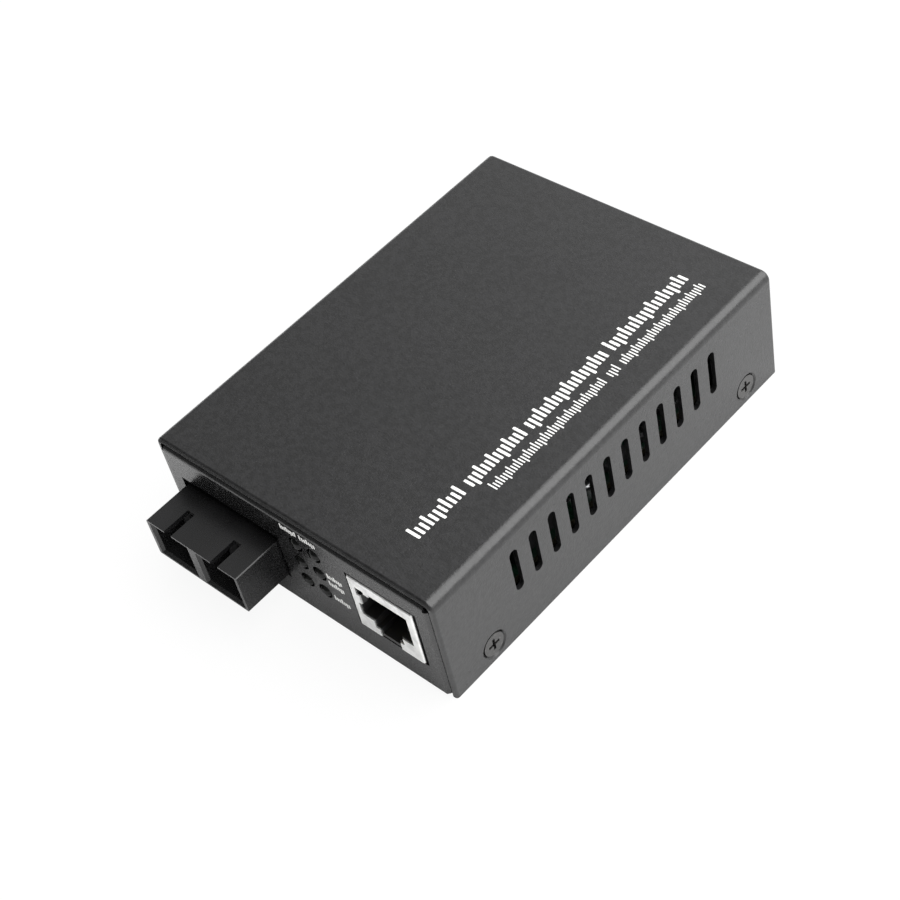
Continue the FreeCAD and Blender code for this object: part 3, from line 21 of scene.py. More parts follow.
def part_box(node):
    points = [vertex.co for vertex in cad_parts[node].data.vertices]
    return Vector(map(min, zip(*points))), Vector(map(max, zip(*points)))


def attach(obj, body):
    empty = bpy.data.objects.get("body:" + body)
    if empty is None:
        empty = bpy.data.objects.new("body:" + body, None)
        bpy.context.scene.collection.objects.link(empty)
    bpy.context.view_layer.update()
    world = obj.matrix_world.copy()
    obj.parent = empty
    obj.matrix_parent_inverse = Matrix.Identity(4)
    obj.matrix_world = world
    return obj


LOG = logging.getLogger("converter")
MM = 0.001   # metres in a millimetre
INK = 0.01   # thickness of printed ink, mm

Triple = tuple[float, float, float]
Colour = Triple
Span = tuple[float, float]
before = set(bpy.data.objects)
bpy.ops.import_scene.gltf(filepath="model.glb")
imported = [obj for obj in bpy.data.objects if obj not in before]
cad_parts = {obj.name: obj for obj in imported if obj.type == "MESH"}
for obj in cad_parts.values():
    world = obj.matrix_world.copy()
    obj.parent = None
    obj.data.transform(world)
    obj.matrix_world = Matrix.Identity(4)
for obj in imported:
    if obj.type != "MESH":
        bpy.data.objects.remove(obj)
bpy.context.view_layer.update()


# --------------------------------------------------------------------- shader maths


class Value:
    """A number that varies over a surface and is used in plain arithmetic."""

    def __init__(self, graph: Graph, socket: bpy.types.NodeSocket) -> None:
        """Keep the socket and the graph that it belongs to."""
        self.graph = graph
        self.socket = socket

    def _join(self, operation: str, *terms: Value | float) -> Value:
        """Add one Math node.

        Args:
            operation: The Math node's operation.
            terms: Its inputs in order.

        Returns:
            The node's result.
        """
        node = self.graph.node("ShaderNodeMath", {"operation": operation}, dict(enumerate(terms)))
        return Value(self.graph, node.outputs[0])

    def __add__(self, other: Value | float) -> Value:
        """Return the sum."""
        return self._join("ADD", self, other)

    __radd__ = __add__

    def __sub__(self, other: Value | float) -> Value:
        """Return the difference."""
        return self._join("SUBTRACT", self, other)

    def __rsub__(self, other: float) -> Value:
        """Return a plain number less this value."""
        return self._join("SUBTRACT", other, self)

    def __mul__(self, other: Value | float) -> Value:
        """Return the product."""
        return self._join("MULTIPLY", self, other)

    def __truediv__(self, other: Value | float) -> Value:
        """Return the quotient."""
        return self._join("DIVIDE", self, other)

    def __pow__(self, other: float) -> Value:
        """Return this value raised to a power."""
        return self._join("POWER", self, other)

    def __abs__(self) -> Value:
        """Return the size without its sign."""
        return self._join("ABSOLUTE", self)

    def __mod__(self, other: float) -> Value:
        """Return the rest after division, never negative."""
        return self._join("FLOORED_MODULO", self, other)

    def least(self, other: Value | float) -> Value:
        """Return the smaller of the two."""
        return self._join("MINIMUM", self, other)

    def most(self, other: Value | float) -> Value:
        """Return the larger of the two."""
        return self._join("MAXIMUM", self, other)

    def ease(self, low: float, high: float) -> Value:
        """Rise smoothly from 0 at low to 1 at high.

        Args:
            low: Where the rise begins.
            high: Where it ends; below low, the value falls instead.

        Returns:
            A value between 0 and 1.
        """
        if low > high:
            return 1 - self.ease(high, low)
        node = self.graph.node(
            "ShaderNodeMapRange", {"interpolation_type": "SMOOTHSTEP"},
            {"Value": self, "From Min": low, "From Max": high})
        return Value(self.graph, node.outputs["Result"])

    def inside(self, low: float, high: float, soft: float) -> Value:
        """Return 1 between low and high and 0 outside, with edges soft wide."""
        return self.ease(low - soft, low) * self.ease(high + soft, high)


class Graph:
    """The nodes of one material, or of a world."""

    # socket numbers of a Mix node that blends colours
    MIX_FACTOR, MIX_FIRST, MIX_SECOND, MIX_RESULT = 0, 6, 7, 2

    def __init__(self, name: str, world: bpy.types.World | None = None) -> None:
        """Start an empty material, or world, with its coordinates in millimetres.

        Args:
            name: Name of the new material.
            world: A world to fill in place of a material.
        """
        self.owner = world or bpy.data.materials.new(name)
        self.owner.use_nodes = True
        self.tree = self.owner.node_tree
        self.tree.nodes.clear()
        where = self.node("ShaderNodeTexCoord")
        self.toward = where.outputs["Generated"]
        self.place = self.node("ShaderNodeVectorMath", {"operation": "SCALE"},
                               {0: where.outputs["Object"], "Scale": 1 / MM}).outputs[0]
        parts = self.node("ShaderNodeSeparateXYZ", None, {0: self.place})
        self.x, self.y, self.z = (Value(self, out) for out in parts.outputs)

    def node(self, kind: str, settings: Mapping[str, object] | None = None,
             inputs: Mapping[str | int, object] | None = None) -> bpy.types.Node:
        """Add a node.

        Args:
            kind: The node's type.
            settings: Its settings, set before its sockets.
            inputs: Values, sockets or Value objects by socket name or number.

        Returns:
            The new node.
        """
        node = self.tree.nodes.new(kind)
        for name, setting in (settings or {}).items():
            setattr(node, name, setting)
        for name, given in (inputs or {}).items():
            given = given.socket if isinstance(given, Value) else given
            if isinstance(given, bpy.types.NodeSocket):
                self.tree.links.new(given, node.inputs[name])
            else:
                node.inputs[name].default_value = given
        return node

    def noise(self, grain: float, detail: float = 2.0, stretch: Triple = (1, 1, 1)) -> Value:
        """Add fractal noise.

        Args:
            grain: Size of its blotches in millimetres.
            detail: How many finer layers lie on them.
            stretch: How much longer the blotches are along each axis.

        Returns:
            A value round 0.5.
        """
        where = self.node("ShaderNodeMapping", {"vector_type": "POINT"}, {
            "Vector": self.place, "Scale": tuple(1 / (grain * s) for s in stretch)})
        node = self.node("ShaderNodeTexNoise", None, {
            "Vector": where.outputs[0], "Scale": 1.0, "Detail": detail})
        return Value(self, node.outputs[0])

    def cells(self, grain: float) -> Value:
        """Return a random value for each cell, grain millimetres across."""
        where = self.node("ShaderNodeVectorMath", {"operation": "SCALE"},
                          {0: self.place, "Scale": 1 / grain})
        node = self.node("ShaderNodeTexVoronoi", {"feature": "F1"},
                         {"Vector": where.outputs[0], "Scale": 1.0})
        shade = self.node("ShaderNodeSeparateXYZ", None, {0: node.outputs["Color"]})
        return Value(self, shade.outputs[0])

    def mix(self, factor: Value, first: Colour | bpy.types.NodeSocket,
            second: Colour | bpy.types.NodeSocket) -> bpy.types.NodeSocket:
        """Blend two colours.

        Args:
            factor: Share of the second colour, 0 to 1.
            first: The colour where the factor is 0.
            second: The colour where it is 1.

        Returns:
            The blend.
        """
        first, second = ((*colour, 1.0) if isinstance(colour, tuple) else colour
                         for colour in (first, second))
        node = self.node("ShaderNodeMix", {"data_type": "RGBA", "clamp_factor": True}, {
            self.MIX_FACTOR: factor, self.MIX_FIRST: first, self.MIX_SECOND: second})
        return node.outputs[self.MIX_RESULT]

    def bump(self, height: Value, depth: float) -> bpy.types.NodeSocket:
        """Return a normal pushed about by a height of 0 to 1, depth in millimetres."""
        node = self.node("ShaderNodeBump", None, {
            "Height": height, "Distance": depth * MM, "Strength": 1.0})
        return node.outputs[0]

    def surface(self, inputs: Mapping[str, object]) -> bpy.types.Material:
        """Close the graph with a Principled surface and return the material."""
        shader = self.node("ShaderNodeBsdfPrincipled", None, inputs)
        self.node("ShaderNodeOutputMaterial", None, {0: shader.outputs[0]})
        return self.owner


def tint(colour: Colour, share: float, lift: float = 0.0) -> Colour:
    """Make a colour darker or paler.

    Args:
        colour: The colour to start from.
        share: What each channel is multiplied by.
        lift: What is then added to each channel.

    Returns:
        The new colour.
    """
    red, green, blue = (channel * share + lift for channel in colour)
    return red, green, blue


def drift(level: Value | float, *swings: tuple[Value, float]) -> Value:
    """Let a level drift with noise.

    Args:
        level: The level where every noise is at its middle of 0.5.
        swings: Pairs of a noise and how far its whole range moves the level.

    Returns:
        The drifting level.
    """
    for noise, reach in swings:
        level = level + (noise - 0.5) * reach
    return level


# ------------------------------------------------------------------------- finishes


@dataclass(frozen=True)
class Finish(ABC):
    """A finish by name; each kind below draws its own nodes.

    Grains and depths are in millimetres. Levels are the two values of a noise between
    which one look gives way to the next. A swing is how far a noise moves the roughness,
    and a tint is a share of the finish's colour.
    """

    name: str
    colour: Colour

    @abstractmethod
    def draw(self, graph: Graph) -> bpy.types.Material:
        """Fill the graph and return its material."""

    def material(self) -> bpy.types.Material:
        """Return the finish's material, made on first use."""
        made = bpy.data.materials.get(self.name)
        return made or self.draw(Graph(self.name))


@dataclass(frozen=True)
class PowderCoat(Finish):
    """Matt textured paint baked on to sheet steel."""

    grain: float = 0.42            # width of the texture's pits
    depth: float = 0.03
    roughness: float = 0.31
    peel_swing: float = 0.18       # roughness from the pits to the ridges
    ior: float = 1.38
    mottle: float = 0.30           # how far the tone drifts from patch to patch
    mottle_lift: float = 0.15      # how much further it rises than it falls
    patch_grain: float = 1.1
    patch_levels: Span = (0.36, 0.64)
    cloud_grain: float = 26.0      # width of the slow changes of gloss
    cloud_swing: float = 0.1
    speck_share: float = 0.7       # width of a speck as a share of the grain
    speck_levels: Span = (0.90, 1.0)
    speck_tint: float = 2.2
    speck_height: float = 0.1
    cut_end: float = 0.0           # distance from the middle where cut ends turn matt
    cut_above: float = 0.0         # height above which they do
    cut_soft: Span = (0.15, 0.4)   # how softly, along and up
    cut_matt: float = 0.5          # roughness that they gain

    def draw(self, graph: Graph) -> bpy.types.Material:
        """Draw a fine pitted texture, paler specks and slow changes of tone and gloss."""
        orange_peel = graph.noise(self.grain, detail=3.0)
        specks = graph.cells(self.grain * self.speck_share).ease(*self.speck_levels)
        patch = graph.noise(self.patch_grain).ease(*self.patch_levels)
        tone = graph.mix(patch, tint(self.colour, 1 - self.mottle),
                         tint(self.colour, 1 + self.mottle_lift + self.mottle))
        rough = drift(self.roughness, (orange_peel, self.peel_swing),
                      (graph.noise(self.cloud_grain), self.cloud_swing))
        if self.cut_end:
            along, up = self.cut_soft
            end = abs(graph.y).ease(self.cut_end - along, self.cut_end)
            above = graph.z.ease(self.cut_above, self.cut_above + up)
            rough = rough + end * above * self.cut_matt
        return graph.surface({
            "Base Color": graph.mix(specks * orange_peel, tone,
                                    tint(self.colour, self.speck_tint)),
            "Roughness": rough,
            "Specular IOR Level": 1.0,
            "IOR": self.ior,
            "Normal": graph.bump(orange_peel + specks * self.speck_height, self.depth),
        })


@dataclass(frozen=True)
class MouldedPlastic(Finish):
    """Spark-textured or polished moulded plastic."""

    roughness: float = 0.35
    grain: float = 0.25            # width of the mould's texture
    grain_swing: float = 0.15      # roughness that the texture adds and takes
    depth: float = 0.006
    flow_grain: float = 9.0
    flow_stretch: Triple = (1, 2.5, 1)
    flow_swing: float = 0.12
    bloom_levels: Span = (0.35, 0.8)
    bloom: float = 0.6             # share of the bloom where it is strongest

    def draw(self, graph: Graph) -> bpy.types.Material:
        """Draw fine mould texture, slight flow marks and a pale bloom in places."""
        texture = graph.noise(self.grain)
        flow = graph.noise(self.flow_grain, stretch=self.flow_stretch)
        bloom = flow.ease(*self.bloom_levels) * self.bloom
        return graph.surface({
            "Base Color": graph.mix(bloom, self.colour,
                                    tint(self.colour, share=1.5, lift=0.004)),
            "Roughness": drift(self.roughness, (texture, self.grain_swing),
                               (flow, self.flow_swing)),
            "Normal": graph.bump(texture, self.depth),
        })


@dataclass(frozen=True)
class DrawnMetal(Finish):
    """Plated or drawn metal with fine lines along one direction."""

    roughness: float = 0.25
    lines: Triple = (1, 14, 1)     # stretch of the drawing lines along each axis
    grain: float = 0.09            # width of a line
    line_swing: float = 0.16       # roughness from line to line
    depth: float = 0.002
    tarnish: float = 0.25          # share of the brightness that tarnish takes
    cloud_grain: float = 3.2
    cloud_levels: Span = (0.4, 0.75)
    cloud_swing: float = 0.14
    painted_shade_from: float = math.inf    # painted shade: how far aft the metal keeps its full colour before it darkens
    painted_shade_ramp: float = 0.25             # the length over which the painted shade deepens
    painted_shade_share: float = 0.12            # share of the colour left in the painted shade

    def draw(self, graph: Graph) -> bpy.types.Material:
        """Draw fine lines, a faint cloudy tarnish and, where set, painted shade aft of a given
        depth.
        """
        line = graph.noise(self.grain, stretch=self.lines)
        cloud = graph.noise(self.cloud_grain, detail=3.0)
        tone = graph.mix(cloud.ease(*self.cloud_levels), self.colour,
                         tint(self.colour, 1 - self.tarnish))
        # painted shade: aft of the given depth the colour darkens, standing in for the shade
        # inside a hollow
        if self.painted_shade_from < math.inf:
            tone = graph.mix(graph.y.ease(self.painted_shade_from, self.painted_shade_from + self.painted_shade_ramp),
                             tone, tint(self.colour, self.painted_shade_share))
        return graph.surface({
            "Base Color": tone,
            "Metallic": 1.0,
            "Roughness": drift(self.roughness, (line, self.line_swing),
                               (cloud, self.cloud_swing)),
            "Normal": graph.bump(line, self.depth),
        })


@dataclass(frozen=True)
class TurnedMetal(Finish):
    """Metal turned on a lathe, with rings along an axis that runs fore and aft."""

    roughness: float = 0.2
    pitch: float = 0.16            # between one tool ring and the next
    depth: float = 0.004
    ring_rough: float = 0.08       # roughness that a ring's crest gains
    dulling: float = 0.2           # share of the brightness that dull places lose
    cloud_grain: float = 1.4
    cloud_levels: Span = (0.35, 0.75)
    cloud_swing: float = 0.1

    def draw(self, graph: Graph) -> bpy.types.Material:
        """Draw tool rings at one pitch and slight uneven gloss."""
        ring = abs((graph.y / self.pitch) % 1.0 - 0.5) * 2
        cloud = graph.noise(self.cloud_grain)
        return graph.surface({
            "Base Color": graph.mix(cloud.ease(*self.cloud_levels), self.colour,
                                    tint(self.colour, 1 - self.dulling)),
            "Metallic": 1.0,
            "Roughness": drift(self.roughness + ring * self.ring_rough,
                               (cloud, self.cloud_swing)),
            "Normal": graph.bump(ring, self.depth),
        })


@dataclass(frozen=True)
class BlackOxide(Finish):
    """Blackened steel of the screws, slightly worn."""

    roughness: float = 0.34
    metallic: float = 0.75
    steel: Colour = (0.14, 0.137, 0.134)   # where the steel shows through
    patch_grain: float = 0.7
    patch_levels: Span = (0.5, 0.8)
    patch_swing: float = 0.25
    grain: float = 0.12            # width of the oxide's own texture
    grain_swing: float = 0.1
    depth: float = 0.006

    def draw(self, graph: Graph) -> bpy.types.Material:
        """Draw dark oxide with thin patches where the steel shows."""
        patch = graph.noise(self.patch_grain, detail=3.0)
        fine = graph.noise(self.grain, detail=1.0)
        return graph.surface({
            "Base Color": graph.mix(patch.ease(*self.patch_levels), self.colour, self.steel),
            "Metallic": self.metallic,
            "Roughness": drift(self.roughness, (patch, self.patch_swing),
                               (fine, self.grain_swing)),
            "Normal": graph.bump(fine, self.depth),
        })


@dataclass(frozen=True)
class Laminate(Finish):
    """Glass laminate board under solder resist, with copper tracks and raw edges."""

    half_width: float              # of the board
    front: float
    rear: float
    roughness: float = 0.28
    depth: float = 0.03
    raw: Colour = (0.050, 0.045, 0.026)   # of the sawn edges
    raw_width: float = 0.1
    raw_rough: float = 0.4         # roughness that they gain
    block_grain: float = 9.0       # width of a block of tracks
    block_levels: Span = (0.12, 0.88)   # blocks outside these have no tracks
    turn_levels: Span = (0.5, 0.52)     # where blocks across give way to blocks along
    track_pitch: float = 1.27
    track_levels: Span = (0.32, 0.26)   # a track's edge, from the gap's middle
    track_tint: float = 1.9
    track_share: float = 0.7       # how much of that tint shows
    weave_grain: float = 0.5
    weave_stretch: float = 3.0
    weave_levels: Span = (0.2, 0.5)
    weave_tint: float = 0.7
    weave_share: float = 0.3
    weave_rough: float = 0.1
    weave_height: float = 0.2      # as a share of the tracks' height

    def stripes(self, across: Value) -> Value:
        """Return 1 on tracks and 0 between them, by a coordinate across the tracks."""
        return abs((across / self.track_pitch) % 1.0 - 0.5).ease(*self.track_levels)

    def draw(self, graph: Graph) -> bpy.types.Material:
        """Draw tracks in blocks that run both ways, glass weave and pale raw edges."""
        block = graph.cells(self.block_grain)
        low, high = self.turn_levels
        tracks = (self.stripes(graph.x) * block.ease(high, low)
                  + self.stripes(graph.y) * block.ease(low, high))
        tracks = tracks * block.inside(*self.block_levels, soft=0.01)
        warp = graph.noise(self.weave_grain, 1.0, (1, self.weave_stretch, 1))
        weft = graph.noise(self.weave_grain, 1.0, (self.weave_stretch, 1, 1))
        weave = warp * weft
        edge = (abs(graph.x).ease(self.half_width - self.raw_width, self.half_width)
                .most(graph.y.ease(self.rear - self.raw_width, self.rear))
                .most(graph.y.ease(self.front + self.raw_width, self.front)))
        tone = graph.mix(tracks * self.track_share, self.colour,
                         tint(self.colour, self.track_tint))
        tone = graph.mix(weave.ease(*self.weave_levels) * self.weave_share, tone,
                         tint(self.colour, self.weave_tint))
        return graph.surface({
            "Base Color": graph.mix(edge, tone, self.raw),
            "Roughness": self.roughness + edge * self.raw_rough + weave * self.weave_rough,
            "Normal": graph.bump(tracks + weave * self.weave_height, self.depth),
        })


@dataclass(frozen=True)
class CanSleeve(Finish):
    """Bare capacitor cans, in a row fore and aft, with a black sector on each top."""

    row_x: float                   # the row's middle line
    first_y: float                 # the first can's middle
    pitch: float
    top: float
    black: Colour = (0.015, 0.015, 0.017)
    black_rough: float = 0.2       # roughness that the sector gains
    top_reach: Span = (0.12, 0.04)      # how far below the top the print starts and is full
    sector_edge: Span = (1.15, 1.2)     # the sector's straight side, from the middle
    sector_slant: float = 0.2
    roughness: float = 0.24
    grain: float = 0.07            # width of a brushed line
    grain_stretch: Triple = (1, 1, 12)
    grain_swing: float = 0.12
    spun_grain: float = 0.3        # width of the marks of spinning
    spun_swing: float = 0.1
    depth: float = 0.003

    def draw(self, graph: Graph) -> bpy.types.Material:
        """Draw brushed aluminium, and on the top a dark sector toward the right."""
        along = (graph.y - self.first_y + self.pitch / 2) % self.pitch - self.pitch / 2
        below, full = self.top_reach
        on_top = graph.z.ease(self.top - below, self.top - full)
        outward = graph.x - self.row_x - abs(along) * self.sector_slant
        sector = outward.ease(*self.sector_edge) * on_top
        brush = graph.noise(self.grain, stretch=self.grain_stretch)
        spun = graph.noise(self.spun_grain)
        return graph.surface({
            "Base Color": graph.mix(sector, self.colour, self.black),
            "Metallic": 1 - sector,
            "Roughness": drift(self.roughness + sector * self.black_rough,
                               (brush, self.grain_swing), (spun, self.spun_swing)),
            "Normal": graph.bump(brush, self.depth),
        })


class Mark(NamedTuple):
    """A round mark on the top of a package."""

    x: float
    y: float
    radius: float


@dataclass(frozen=True)
class ChipResin(Finish):
    """Moulded package resin with a round first-pin mark."""

    marks: tuple[Mark, ...]
    mark_soft: float = 0.08        # width of a mark's edge
    mark_share: float = 0.25       # how much of the pale tint a mark shows
    mark_gloss: float = 0.3        # roughness that it loses
    mark_depth: float = 0.6        # as a share of the resin's own depth
    roughness: float = 0.55
    grain: float = 0.18            # width of the filler's grains
    grain_levels: Span = (0.45, 0.8)
    grain_share: float = 0.5
    grain_swing: float = 0.2
    depth: float = 0.012

    def draw(self, graph: Graph) -> bpy.types.Material:
        """Draw slightly sparkling filler and polished round marks."""
        filler = graph.noise(self.grain, detail=3.0)
        spot = graph.x * 0.0       # nothing yet, to which each mark is added
        for mark in self.marks:
            east, north = graph.x - mark.x, graph.y - mark.y
            away = (east * east + north * north) ** 0.5
            spot = spot.most(away.ease(mark.radius, mark.radius - self.mark_soft))
        pale = filler.ease(*self.grain_levels) * self.grain_share + spot * self.mark_share
        return graph.surface({
            "Base Color": graph.mix(pale, self.colour,
                                    tint(self.colour, share=2.0, lift=0.01)),
            "Roughness": drift(self.roughness - spot * self.mark_gloss,
                               (filler, self.grain_swing)),
            "Normal": graph.bump(filler - spot * self.mark_depth, self.depth),
        })


@dataclass(frozen=True)
class EndedChip(Finish):
    """Small ceramic parts in two rows, each part lying fore and aft with tinned ends."""

    rows: Span                     # middle of the front row and of the rear row
    length: float                  # of a part
    tinned: float                  # length of each tinned end
    tin: Colour = (0.74, 0.73, 0.70)
    tin_gloss: float = 0.15        # roughness that the ends lose
    soft: float = 0.04             # width of the tin's edge
    roughness: float = 0.45
    grain: float = 0.15
    grain_swing: float = 0.2
    depth: float = 0.006

    def draw(self, graph: Graph) -> bpy.types.Material:
        """Draw ceramic in the middle of each part and bright solder at its ends."""
        front, rear = (abs(graph.y - row) for row in self.rows)
        body_end = self.length / 2 - self.tinned
        tin = front.least(rear).ease(body_end - self.soft, body_end)
        grit = graph.noise(self.grain)
        return graph.surface({
            "Base Color": graph.mix(tin, self.colour, self.tin),
            "Metallic": tin,
            "Roughness": drift(self.roughness - tin * self.tin_gloss,
                               (grit, self.grain_swing)),
            "Normal": graph.bump(grit, self.depth),
        })


@dataclass(frozen=True)
class LampEpoxy(Finish):
    """Smoky lamp epoxy, deeply tinted."""

    roughness: float = 0.10
    specular: float = 0.22
    streak_grain: float = 0.9
    streak_stretch: Triple = (1, 3, 1)
    streak_levels: Span = (0.35, 0.75)
    grain: float = 0.2
    grain_swing: float = 0.05
    depth: float = 0.001

    def draw(self, graph: Graph) -> bpy.types.Material:
        """Draw a deep tint with slow streaks and a moulded gloss."""
        streak = graph.noise(self.streak_grain, stretch=self.streak_stretch)
        fine = graph.noise(self.grain, detail=1.0)
        return graph.surface({
            "Base Color": graph.mix(streak.ease(*self.streak_levels), self.colour,
                                    tint(self.colour, share=2.0, lift=0.002)),
            "Roughness": drift(self.roughness, (fine, self.grain_swing)),
            "Specular IOR Level": self.specular,
            "Normal": graph.bump(fine, self.depth),
        })


@dataclass(frozen=True)
class ScreenInk(Finish):
    """Pale screen-printed ink with a slightly uneven lay."""

    roughness: float = 0.5
    grain: float = 0.5             # width of the places where the ink lies thicker
    grain_swing: float = 0.2
    thin_levels: Span = (0.55, 0.85)
    thin_tint: float = 0.78
    depth: float = 0.01

    def draw(self, graph: Graph) -> bpy.types.Material:
        """Draw ink that thins a little in places over the paint's texture."""
        lay = graph.noise(self.grain)
        return graph.surface({
            "Base Color": graph.mix(lay.ease(*self.thin_levels), self.colour,
                                    tint(self.colour, self.thin_tint)),
            "Roughness": drift(self.roughness, (lay, self.grain_swing)),
            "Normal": graph.bump(lay, self.depth),
        })


# -------------------------------------------------------------------- modelling aids


def deselect() -> None:
    """Deselect every object, so that an operator acts on one piece alone."""
    for item in bpy.context.selected_objects:
        item.select_set(False)


def pick(items: Iterable[bpy.types.Object]) -> bpy.types.Object:
    """Select the given objects alone, make the first active and return it."""
    deselect()
    items = list(items)
    for item in items:
        item.select_set(True)
    bpy.context.view_layer.objects.active = items[0]
    return items[0]


def dress(finish: Finish, *nodes: str) -> None:
    """Give whole CAD nodes a finish.

    Args:
        finish: The finish.
        nodes: Names of the CAD nodes.
    """
    for name in nodes:
        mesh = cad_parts[name].data
        mesh.materials.clear()
        mesh.materials.append(finish.material())
        LOG.info("dressed %s in %s", name, finish.name)


def settle(piece: bpy.types.Object, name: str, finish: Finish) -> None:
    """Complete a new piece with its name, place, finish and body.

    Args:
        piece: The piece.
        name: Its name.
        finish: Its finish.
    """
    pick([piece])
    bpy.ops.object.transform_apply(location=True, rotation=True, scale=True)
    piece.name = name
    piece.data.name = name
    piece.data.materials.clear()
    piece.data.materials.append(finish.material())
    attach(piece, "root")
    LOG.info("built %s: %d faces", name, len(piece.data.polygons))


def box_mm(node: str) -> tuple[Vector, Vector]:
    """Return a CAD node's lowest and highest corners in millimetres."""
    low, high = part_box(node)
    return low / MM, high / MM


# ---------------------------------------------------------------------------- print


class Stroke(Enum):
    """Where a printed bar starts and ends, as shares of its row's height."""

    TALL = (0.0, 1.0)
    SHORT = (0.0, 0.72)
    DEEP = (-0.22, 0.72)


# the bars of a row, over and over from its start to its end
PATTERN = (Stroke.TALL, Stroke.SHORT, Stroke.SHORT, Stroke.TALL,
           Stroke.SHORT, Stroke.DEEP, Stroke.SHORT)


@dataclass(frozen=True)
class Lettering:
    """Measures of the bars in a printed row."""

    height: float                  # of a tall bar
    stroke: float                  # width of a bar
    gap: float                     # between bars, before they are spread over their group
    corner: float = 0.14           # softening of a bar's corners, as a share of its sides
    corner_steps: int = 2

    def bar(self) -> bpy.types.Object:
        """Model one bar of unit size with softened corners, standing on the surface."""
        deselect()
        bpy.ops.mesh.primitive_cube_add(size=1, location=(0, 0, 0))
        bar = bpy.context.object
        bpy.ops.object.mode_set(mode="EDIT")
        bpy.ops.mesh.select_all(action="DESELECT")
        bpy.ops.object.mode_set(mode="OBJECT")
        for edge in bar.data.edges:
            first, second = (bar.data.vertices[v].co for v in edge.vertices)
            edge.select = abs((first - second).z) > 0.5   # the four upright edges
        bpy.ops.object.mode_set(mode="EDIT")
        bpy.ops.mesh.select_mode(type="EDGE")
        bpy.ops.mesh.bevel(offset=self.corner, segments=self.corner_steps)
        bpy.ops.object.mode_set(mode="OBJECT")
        return bar


@dataclass
class PrintLine:
    """One printed row of upright bars in groups, which says nothing."""

    origin: Vector                 # on the surface, at the foot of the row's start
    along: Vector                  # the way the row runs
    up: Vector                     # the way the bars stand
    groups: Sequence[Span]         # start and end of each group along the row
    style: Lettering

    def places(self) -> Iterator[float]:
        """Yield how far along the row the middle of each bar is."""
        stroke, gap = self.style.stroke, self.style.gap
        for start, end in self.groups:
            count = max(1, round((end - start + gap) / (stroke + gap)))
            pitch = (end - start - stroke) / max(1, count - 1)
            for step in range(count):
                yield start + stroke / 2 + pitch * step

    def build(self) -> list[bpy.types.Object]:
        """Lay the row.

        Returns:
            The bars, each with its own mesh.
        """
        seed = self.style.bar()
        out = self.along.cross(self.up)
        turn = Matrix((self.along, self.up, out)).transposed().to_4x4()
        bars = []
        for place, stroke in zip(self.places(), itertools.cycle(PATTERN)):
            low, high = (share * self.style.height for share in stroke.value)
            centre = (self.origin + self.along * place
                      + self.up * ((low + high) / 2) + out * (INK / 2))
            size = Matrix.Diagonal((self.style.stroke, high - low, INK, 1.0))
            bar = seed.copy()
            bar.data = seed.data.copy()
            bar.matrix_world = Matrix.Scale(MM, 4) @ Matrix.Translation(centre) @ turn @ size
            bpy.context.scene.collection.objects.link(bar)
            bars.append(bar)
        bpy.data.objects.remove(seed)
        return bars


@dataclass
class Print:
    """All of the printed rows on one sheet, joined to one piece."""

    name: str
    slot: str
    finish: Finish
    rows: Sequence[PrintLine]

    def build(self) -> None:
        """Lay every row and join the bars."""
        bars = [bar for row in self.rows for bar in row.build()]
        piece = pick(bars)
        bpy.ops.object.join()
        settle(piece, self.name, self.finish)


# --------------------------------------------------------------------- sub-assemblies


class Assembly(ABC):
    """A group of CAD nodes that is dressed, and may gain pieces of its own."""

    @abstractmethod
    def dress(self) -> None:
        """Give the group's nodes their finishes."""

    def build(self) -> None:
        """Add pieces; most groups have none."""


@dataclass(frozen=True)
class CoverRow:
    """One printed row on the cover."""

    foot: float                    # feet of its bars, across the cover
    groups: tuple[Span, ...]       # start and end of each group, fore and aft
    style: Lettering


@dataclass
class Case(Assembly):
    """Folded cover, folded chassis and their screws, with the print on the cover."""

    paint: PowderCoat = PowderCoat("black_powder_coat", (0.0085, 0.0085, 0.0089),
                                   cut_end=46.9, cut_above=24.6)
    inner: PowderCoat = PowderCoat("chassis_powder_coat", (0.0085, 0.0085, 0.0089),
                                   grain=0.38, roughness=0.27, mottle=0.12)
    screws: BlackOxide = BlackOxide("black_oxide", (0.078, 0.077, 0.076))
    ink: ScreenInk = ScreenInk("white_screen_ink", (0.82, 0.82, 0.80))
    bold: CoverRow = CoverRow(
        23.4, ((-37.3, -25.1), (-23.4, -8.7), (-7.3, 14.1), (15.6, 37.7)),
        Lettering(height=3.3, stroke=0.62, gap=0.50))
    thin: CoverRow = CoverRow(
        27.3, ((-21.6, 8.6), (10.2, 12.6), (14.0, 37.7)),
        Lettering(height=2.3, stroke=0.30, gap=0.36))

    def dress(self) -> None:
        """Paint the sheet parts and blacken the screws."""
        dress(self.paint, "top_cover")
        dress(self.inner, "base_chassis")
        dress(self.screws, "cover_screws")

    def build(self) -> None:
        """Print two rows along the right of the cover."""
        top = box_mm("top_cover")[1].z
        aft, left = Vector((0, 1, 0)), Vector((-1, 0, 0))
        rows = [PrintLine(Vector((row.foot, 0, top)), aft, left, row.groups, row.style)
                for row in (self.bold, self.thin)]
        Print("cover_print", "cover_paint", self.ink, rows).build()


class Label(NamedTuple):
    """A short printed row on the front panel."""

    left: float
    right: float
    foot: float                    # height of its foot


